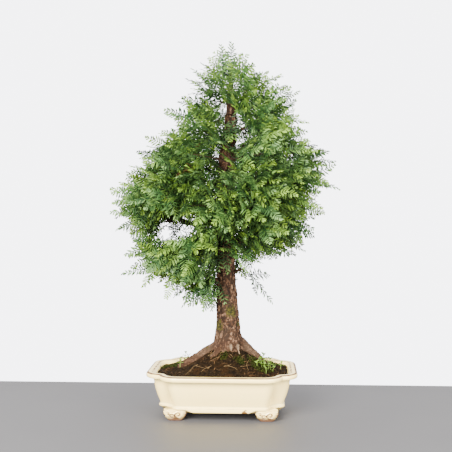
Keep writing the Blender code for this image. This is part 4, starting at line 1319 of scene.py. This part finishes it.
def spray_of(tip, way, chance, attempt):
    """A spray's feathers: one that ends the stem, and a pair that leaves it near its foot."""
    size = 1 - 0.012 * attempt
    droop = float(np.interp(tip[2], *SPRAY_DROOP))
    pitch, yaw, roll = (chance.uniform(-reach, reach) for reach in (0.35, 0.25, 0.85))
    side = np.cross(way, (0, 0, 1))
    if np.linalg.norm(side) < 0.1:
        side, pitch, droop, roll, size = np.array((1.0, 0, 0)), 0, 0, 0.2 * roll, size * APEX_SHARE
    side = unit(side)
    along = turned(turned(way, side, pitch - droop), np.array((0.0, 0, 1)), yaw)
    side = unit(side - along * np.dot(side, along))
    up = turned(np.cross(side, along), along, roll)
    across = np.cross(up, along)
    back = max(-np.dot(way, corner) for corner in (across, up, -across)) * STEM_RADIUS * RIB_FOOT
    root = tip + way * (GAP + back)
    leaves = [feather(root, along, up, SPRAY_LENGTH * size, BARE_STEM, chance.uniform(0.02, 0.14))]
    fork = rib_point(leaves[0], SIDE_FORK)
    for hand in (-1, 1):
        out = along * math.cos(SIDE_TURN) + across * hand * math.sin(SIDE_TURN)
        out = unit(out + leaves[0]["up"] * chance.uniform(-0.10, 0.30))
        lean = turned(leaves[0]["up"], out, chance.uniform(-0.35, 0.35))
        bend = chance.uniform(0.02, 0.16)
        leaves.append(feather(fork, out, lean, SIDE_FEATHER * size, BARE_SIDE, bend))
    return leaves


def wood_samples(branches):
    """Points along the branches and the trunk, and how far off each a feather stays."""
    wood = []
    for path, radii in branches:
        for k in range(len(path) - 1):
            steps = max(2, math.ceil(np.linalg.norm(path[k + 1] - path[k]) / 0.005))
            for s in np.linspace(0, 1, steps, endpoint=False):
                wood.append((path[k] * (1 - s) + path[k + 1] * s, radii[k]))
    for z in np.arange(0.20, TRUNK[-1][0], 0.006):
        wood.append(trunk_at(z))
    return np.array([p for p, _ in wood]), np.array([r for _, r in wood]) + 0.6 * CLEARANCE


def distances(points, others):
    return np.linalg.norm(points[:, None] - others[None], axis=2)


def grow_sprays(wood_points, wood_reach, tips):
    """The sprays' feathers, each bent clear of the wood and of the sprays before it."""
    chance = random.Random(SEED + 1)
    taken = np.empty((0, 3))
    sprays = []
    for tip, way in tips:
        near = np.linalg.norm(wood_points - tip, axis=1) < OWN_WOOD
        for attempt in range(SPRAY_TRIES):
            leaves = spray_of(tip, way, chance, attempt)
            points = np.concatenate([sample(leaf) for leaf in leaves])
            to_wood = (distances(points, wood_points[~near]) - wood_reach[~near]).min()
            to_leaf = distances(points, taken).min() if len(taken) else 1
            if to_wood > 0 and to_leaf > CLEARANCE:
                break
        sprays.append(leaves)
        taken = np.concatenate([taken, points])
    return sprays


def inner_feather(stem, chance):
    """A feather that leaves a stem at its fork and turns back, towards the trunk."""
    aside = turned(stem["up"], stem["along"], chance.uniform(0, 2 * math.pi))
    angle = chance.uniform(*INNER_TURN)
    out = stem["along"] * math.cos(angle) + aside * math.sin(angle)
    up = turned(np.array((0.0, 0, 1)) + 0.3 * stem["along"], out, chance.uniform(-0.8, 0.8))
    root = rib_point(stem, SIDE_FORK)
    return feather(root, out, up, INNER_FEATHER, BARE_INNER, chance.uniform(0.02, 0.16))


def add_inner_feathers(sprays, wood_points, wood_reach):
    """Feathers inside the crown, one after another where it is barest."""
    chance = random.Random(SEED + 3)
    taken = np.concatenate([sample(leaf) for leaves in sprays for leaf in leaves])
    found = []
    for leaves in sprays:
        for _ in range(INNER_TRIES):
            leaf = inner_feather(leaves[0], chance)
            points = sample(leaf)
            end = points[-1] - trunk_at(points[-1][2])[0]
            edge = crown_reach(math.atan2(end[1], end[0]), points[-1][2])
            inside = math.hypot(*end[:2]) < INNER_REACH * edge
            if inside and (distances(points, wood_points) - wood_reach).min() > 0:
                found.append((leaves, leaf, points, distances(points, taken).min(axis=1)))
    for _ in range(INNER_COUNT):
        found = [one for one in found if one[3][0] > 0.5 * CLEARANCE and one[3][1:].min() > CLEARANCE]
        leaves, leaf, points, _ = max(found, key=lambda one: one[3].mean())
        leaves.append(leaf)
        found = [(*one[:3], np.minimum(one[3], distances(one[2], points).min(axis=1))) for one in found]


def seen_through(points, windows, front_only=False):
    """Whether any point lies in one of the windows, as seen from the front."""
    if front_only:
        points = points[points[:, 1] < BEFORE_TRUNK]
    nearer = EYE_AWAY / (EYE_AWAY + points[:, 1])
    x, z = points[:, 0] * nearer, EYE_HEIGHT + (points[:, 2] - EYE_HEIGHT) * nearer
    inside = [((x - mx) / w) ** 2 + ((z - mz) / h) ** 2 < 1 for mx, mz, w, h in windows]
    return bool(np.any(inside))


def shoot_to(target, heading, wood, chance, facing=None):
    """A thin shoot from the wood to a place, with its feathers."""
    target = np.array(target)
    away = np.linalg.norm(wood - target, axis=1)
    inward = np.linalg.norm(wood[:, :2] - target[:2], axis=1)
    cost = away + 0.5 * np.abs(wood[:, 2] - target[2] + 0.2 * inward)
    start = wood[cost.argmin()]
    bend = start + (target - start) * 0.5 + np.array((0, 0, 0.08 * away.min()))
    shares = np.linspace(0, 1, 10)[:, None]
    path = (1 - shares) ** 2 * start + 2 * shares * (1 - shares) * bend + shares**2 * target
    return path, shoot_leaves(path, heading, chance, facing)


def grow_shoots(branches):
    """Thin shoots from the wood to places spread evenly through the crown, each with its feathers."""
    chance = random.Random(SEED + 2)
    wood = np.concatenate([path[2:] for path, _ in branches])
    trunk_wood = np.array([trunk_at(z)[0] for z in np.arange(0.25, 0.57, 0.01)])
    wood = np.concatenate([wood, trunk_wood])
    targets, headings = np.hsplit(np.array(SET_SHOOTS), 2)
    targets = targets / 1000
    shoots = [shoot_to(*way, wood, chance, SET_FACING) for way in zip(targets, map(unit, headings))]
    for _ in range(SHOOT_TRIES):
        z = chance.uniform(CROWN[0][0], SHOOT_TOP)
        azimuth = chance.uniform(0, 2 * math.pi)
        depth, spread = chance.uniform(0, 1), chance.uniform(-1, 1)
        out = np.array((math.cos(azimuth), math.sin(azimuth), 0))
        hollow = max(0.0, noise.noise(Vector((out[0], out[1], 11 * z)) * 2.1))
        reach = (crown_reach(azimuth, z) - SHOOT_INSET) * (1 - HOLLOWS * hollow)
        if reach < 0.004:
            continue
        target = trunk_at(z)[0] + out * reach * depth**CROWDING
        spacing = np.interp(z, (0.36, 0.50), (LOW_SPACING, HIGH_SPACING))
        if np.linalg.norm(targets - target, axis=1).min() < spacing:
            continue
        rise = float(np.interp(z, *SHOOT_RISE))
        heading = unit(out * (0.25 + depth**CROWDING) + 0.45 * np.array((-out[1], out[0], 0)) * spread)
        heading = unit(heading + np.array((0, 0, rise + chance.uniform(-0.25, 0.25))))
        path, leaves = shoot_to(target, heading, wood, chance)
        points = np.concatenate([sample(leaf) for leaf in leaves])
        if seen_through(points, SKY_GAPS) or seen_through(points, TRUNK_WINDOWS, front_only=True):
            continue
        targets = np.concatenate([targets, [target]])
        shoots.append((path, leaves))
    return shoots


def shoot_leaves(path, heading, chance, facing):
    """The feathers of a shoot: one that runs on from its tip, and opposite pairs along its outer part."""
    side = unit(np.cross(heading, (0, 0, 1)) + (1e-6, 0, 0))
    roll = chance.choice((-1, 1)) * chance.uniform(0.30, 1.20)
    up = turned(np.cross(side, heading), heading, roll)
    if facing:
        up = unit(facing - heading * np.dot(facing, heading))
    size = chance.uniform(0.80, 1.12)
    leaves = [feather(path[-1], heading, up, TIP_FEATHER * size, BARE_PAIR, chance.uniform(0.05, 0.30))]
    length = np.linalg.norm(np.diff(path, axis=0), axis=1).sum()
    pairs = int(np.clip((length - 0.002) / PAIR_STEP, 1, len(PAIR_SHARES)))
    for pair in range(pairs):
        back = (0.003 + PAIR_STEP * pair) / length
        root = np.array([np.interp(1 - back, np.linspace(0, 1, len(path)), column) for column in path.T])
        for hand in (-1, 1):
            turn = SIDE_TURN + chance.uniform(-0.2, 0.3)
            along = unit(turned(heading, up, hand * turn) + up * chance.uniform(-0.15, 0.30))
            lean = turned(up, along, chance.uniform(-0.5, 0.5))
            long = PAIR_FEATHER * size * PAIR_SHARES[pair] * chance.uniform(0.8, 1.1)
            leaves.append(feather(root, along, lean, long, BARE_PAIR, chance.uniform(0.05, 0.32)))
    return leaves


def needle():
    """A flat needle a metre long, wide and thick, with a keel below and a blunt point."""
    points = [(-0.24, 0, 0), (0.24, 0, 0), (-0.5, 0.62, 0.3), (0.5, 0.62, 0.3), (0, 0.55, -0.7), (0, 1, 0)]
    faces = [(0, 1, 3, 2), (0, 2, 4), (0, 4, 1), (1, 4, 3), (2, 3, 5), (3, 4, 5), (4, 2, 5)]
    return facing_out(body("needle", points, faces, reach=[y for _, y, _ in points]))


def feather_tree():
    """A tree that turns ribs into feathers: a thin stem along each, and two rows of needles."""
    inputs = {"Ribs": "Geometry", "Needle": "Object", "Rib": "Float", "Thickness": "Float"}
    inputs.update({"Ragged": "Float", "Seed": "Int", "Finish": "Material"})
    tree, given = geometry_tree("feathers", **inputs)
    rib = given["Ribs"].add("GeometryNodeMeshToCurve", {}, {"Mesh": given["Ribs"]})
    circle = rib.add("GeometryNodeCurvePrimitiveCircle", {}, {"Resolution": 3, 4: given["Rib"]})
    sockets = {"Curve": rib, "Profile Curve": circle, "Scale": marked(rib, "thick"), "Fill Caps": True}
    parts = [rib.add("GeometryNodeCurveToMesh", {}, sockets)]
    sockets = {"Curve": rib, "Length": marked(rib, "pitch")}
    row = rib.add("GeometryNodeResampleCurve", {"mode": "LENGTH"}, sockets)
    along = row.add("GeometryNodeInputTangent")
    up, lean, long = marked(row, "up", "FLOAT_VECTOR"), marked(row, "lean"), marked(row, "long")
    across = row.add("ShaderNodeVectorMath", {"operation": "CROSS_PRODUCT"}, {0: up, 1: along})
    forward, fall = scaled(along, lean.math("COSINE", lean)), scaled(up, -NEEDLE_FALL)
    bit = row.add("GeometryNodeObjectInfo", {}, {"Object": given["Needle"]}, out="Geometry")
    grows = row.add("FunctionNodeCompare", {"operation": "GREATER_THAN"}, {0: long, 1: 0.001})
    axes = {"primary_axis": "Y", "secondary_axis": "Z"}
    for number, side in enumerate((-1.0, 1.0)):
        seed = given["Seed"] + number * 7
        sideways = scaled(across, lean.math("SINE", lean) * side)
        out = summed(forward, sideways, fall, scaled(drawn_way(row, seed), given["Ragged"]))
        turn = row.add("FunctionNodeAxesToRotation", axes, {"Primary Axis": out, "Secondary Axis": up})
        long_here = long * drawn(row, seed + 3, 0.86, 1.1)
        scale = {"X": marked(row, "wide"), "Y": long_here, "Z": given["Thickness"]}
        scale = row.add("ShaderNodeCombineXYZ", {}, scale)
        shaded = stored(row, "shade", drawn(row, seed + 5))
        sockets = {"Points": shaded, "Selection": grows, "Instance": bit, "Rotation": turn, "Scale": scale}
        parts.append(row.add("GeometryNodeInstanceOnPoints", {}, sockets))
    end_tree(rib.add("GeometryNodeJoinGeometry", {}, {"Geometry": parts}), given["Finish"])
    return tree


def leaf_green():
    made, shader, place = new_finish("needle_green", Specular_IOR_Level=0.18)
    reach, share = mark_of(place, "reach"), mark_of(place, "share")
    tint, outer = mark_of(place, "tint"), mark_of(place, "outer")
    shade, dry = mark_of(place, "shade"), mark_of(place, "dry")
    patches, fine = cloud(place, 45, 2), cloud(place, 700, 2)
    young = rise(0.46 * share * share + 0.36 * tint + 0.22 * outer + 0.24 * patches, 0.48, 1.06)
    colour = mix(rise(0.5 * tint + 0.5 * patches, 0.2, 0.7), (0.008, 0.034, 0.006), (0.027, 0.079, 0.019))
    # Painted shade: feathers deep in the crown are darker, for the shade that the outer feathers cast on them
    colour = mix((1 - outer) * 0.8, colour, (0.004, 0.016, 0.003))
    tip = mix(rise(tint, 0.25, 0.75), (0.118, 0.204, 0.062), (0.134, 0.222, 0.016))
    colour = mix(young, colour, tip)
    colour = mix(reach * 0.15 + rise(shade, 0.55, 1.0) * 0.30, colour, (0.119, 0.197, 0.040))
    colour = mix(rise(0.5 - shade, 0.0, 0.5) * 0.75, colour, (0.004, 0.015, 0.003))
    colour = mix(dry, colour, (0.11, 0.050, 0.016))
    feed(shader, Base_Color=colour, Roughness=0.42 + 0.2 * fine, Normal=bump(fine, 0.0003, 0.4))
    return made


def rib_rows(leaf, chance, dry):
    """A feather's rib as points, and the marks that its needles are made from."""
    count = max(4, round(leaf["length"] / RIB_STEP))
    distances = np.concatenate([[0], np.linspace(leaf["bare"], leaf["length"], count)])
    shares = distances / leaf["length"]
    path = np.array([rib_point(leaf, d) for d in distances])
    lean = NEEDLE_LEAN + (TIP_LEAN - NEEDLE_LEAN) * step_between(shares, 0.72, 1.04)
    away = path[-1] - trunk_at(leaf["root"][2])[0]
    reach = crown_reach(math.atan2(away[1], away[0]), path[-1][2])
    outer = np.clip(math.hypot(*away[:2]) / max(reach, 0.02), 0, 1)
    whole = {
        "up": leaf["up"],
        "tint": chance.uniform(0, 1),
        "outer": outer,
        "pitch": np.interp(outer, (0.55, 1.0), (INNER_PITCH, OUTER_PITCH)),
        "wide": np.interp(outer, (0.75, 1.0), (INNER_WIDTH, OUTER_WIDTH)),
        "dry": float(dry),
    }
    marks = {name: np.repeat([value], len(path), axis=0) for name, value in whole.items()}
    long = LONGER * needle_length(shares) * (shares > 0.6 * leaf["bare"] / leaf["length"])
    return path, {**marks, "lean": lean, "long": long, "share": shares, "thick": 1.2 - 0.75 * shares}


def leafy_tier(number, leaves, tree, bit, finish):
    """One tier of the crown: its feathers as one mesh."""
    chance = random.Random(TIER_SEED + number)
    rows = [rib_rows(leaf, chance, chance.random() < DRY_SHARE) for leaf in leaves]
    marks = {name: [their[name] for _, their in rows] for name in rows[0][1]}
    made = lines(f"leaves_{number}", [path for path, _ in rows], **marks)
    sizes = {"Rib": RIB_THICK, "Thickness": NEEDLE_THICK}
    grown(made, tree, Needle=bit, Ragged=NEEDLE_RAGGED, Seed=number, Finish=finish, **sizes)
    strip_marks(made, "reach", "share", "tint", "outer", "dry", "shade")
    return made


wood = wood_samples(coarse_branches)
sprays = grow_sprays(*wood, tips)
add_inner_feathers(sprays, *wood)
shoots = grow_shoots(branches)
shoot_paths = [path for path, _ in shoots]
shoot_radii = [SHOOT_THICK * np.linspace(1.0, 0.6, len(path)) for path in shoot_paths]
shoot_wood = limbs("shoots", shoot_paths, shoot_radii, limb_tree, SHOOT_STEP, SHOOT_SIDES, SHOOT_RELIEF)
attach(shoot_wood, "root")
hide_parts("tree_wood")

one_needle, feathers, green = needle(), feather_tree(), leaf_green()
tiers = [([], []) for _ in range(len(TIERS) + 1)]
grown_feathers = [(leaves, [f"spray_{number:02d}"]) for number, leaves in enumerate(sprays, 1)]
grown_feathers += [(leaves, []) for _, leaves in shoots]
for leaves, nodes in grown_feathers:
    tier = tiers[int(np.searchsorted(TIERS, leaves[0]["root"][2]))]
    tier[0].extend(leaves)
    tier[1].extend(nodes)
for number, (leaves, nodes) in enumerate(tiers, 1):
    tier = leafy_tier(number, leaves, feathers, one_needle, green)
    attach(tier, "root")
    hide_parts(*nodes)
bpy.data.objects.remove(one_needle)


# The stage
# A pale bench top in soft studio light from large panels, before a plain pale ground. The camera stands
# level with the lower branches, a little to the right of the pot's middle.

BENCH_BACK, BENCH_FRONT, BENCH_SIDE, BENCH_THICK = 0.223, -1.00, 1.60, 0.04
CAMERA_SWING, CAMERA_AIM_X, LENS, SENSOR = math.radians(3), 0.005, 59.2, 36
# Light panels: place, height that they face, side and power
PANELS = (
    ("key", (-0.9, -1.9, 1.25), 0.25, 1.4, 325),
    ("fill", (1.5, -1.6, 0.75), 0.25, 1.6, 140),
    ("top", (0, 0.3, 2.2), 0.3, 2.0, 60),
)
# How bright the ground behind is as a light, and as it is seen
SKY_LIGHT, SEEN_LIGHT = 1.9, 6.2


def bench_top():
    made, shader, place = new_finish("pale_bench")
    haze = cloud(place, 9, 3)
    colour = mix(haze, (0.056, 0.053, 0.052), (0.069, 0.066, 0.064))
    feed(shader, Base_Color=colour, Roughness=0.55 + 0.1 * haze)
    corners = [(x, BENCH_FRONT) for x in (-BENCH_SIDE, BENCH_SIDE)]
    corners += [(x, BENCH_BACK) for x in (BENCH_SIDE, -BENCH_SIDE)]
    top = body("bench_top", *loft([[(*c, z) for c in corners] for z in (-BENCH_THICK, 0)]), made)
    bevel = top.modifiers.new("edge", "BEVEL")
    bevel.width, bevel.segments = 0.004, 3
    return plain_mesh(top)


def panel(name, place, aim_height, side, power):
    """A large square light panel, which faces a point above the pot."""
    light = bpy.data.lights.new(name, "AREA")
    light.shape, light.size, light.size_y, light.energy = "RECTANGLE", side, side, power
    made = linked(name, light)
    made.location = place
    made.rotation_euler = (Vector((0, 0, aim_height)) - Vector(place)).to_track_quat("-Z", "Y").to_euler()


bench_top()
for light in PANELS:
    panel(*light)

world = bpy.data.worlds.new("pale_ground")
bpy.context.scene.world = world
world.use_nodes = True
ground = world.node_tree.nodes["Background"]
ground.inputs["Color"].default_value = (0.95, 0.95, 1.0, 1)
seen = Wire(world.node_tree).add("ShaderNodeLightPath", out="Is Camera Ray")
feed(ground, Strength=SKY_LIGHT + (SEEN_LIGHT - SKY_LIGHT) * seen)

camera = linked("camera", bpy.data.cameras.new("camera"))
camera.data.lens, camera.data.sensor_width = LENS, SENSOR
camera_x = CAMERA_AIM_X + EYE_AWAY * math.sin(CAMERA_SWING)
camera.location = (camera_x, -EYE_AWAY * math.cos(CAMERA_SWING), EYE_HEIGHT)
camera.rotation_euler = (math.pi / 2, 0, CAMERA_SWING)
bpy.context.scene.camera = camera
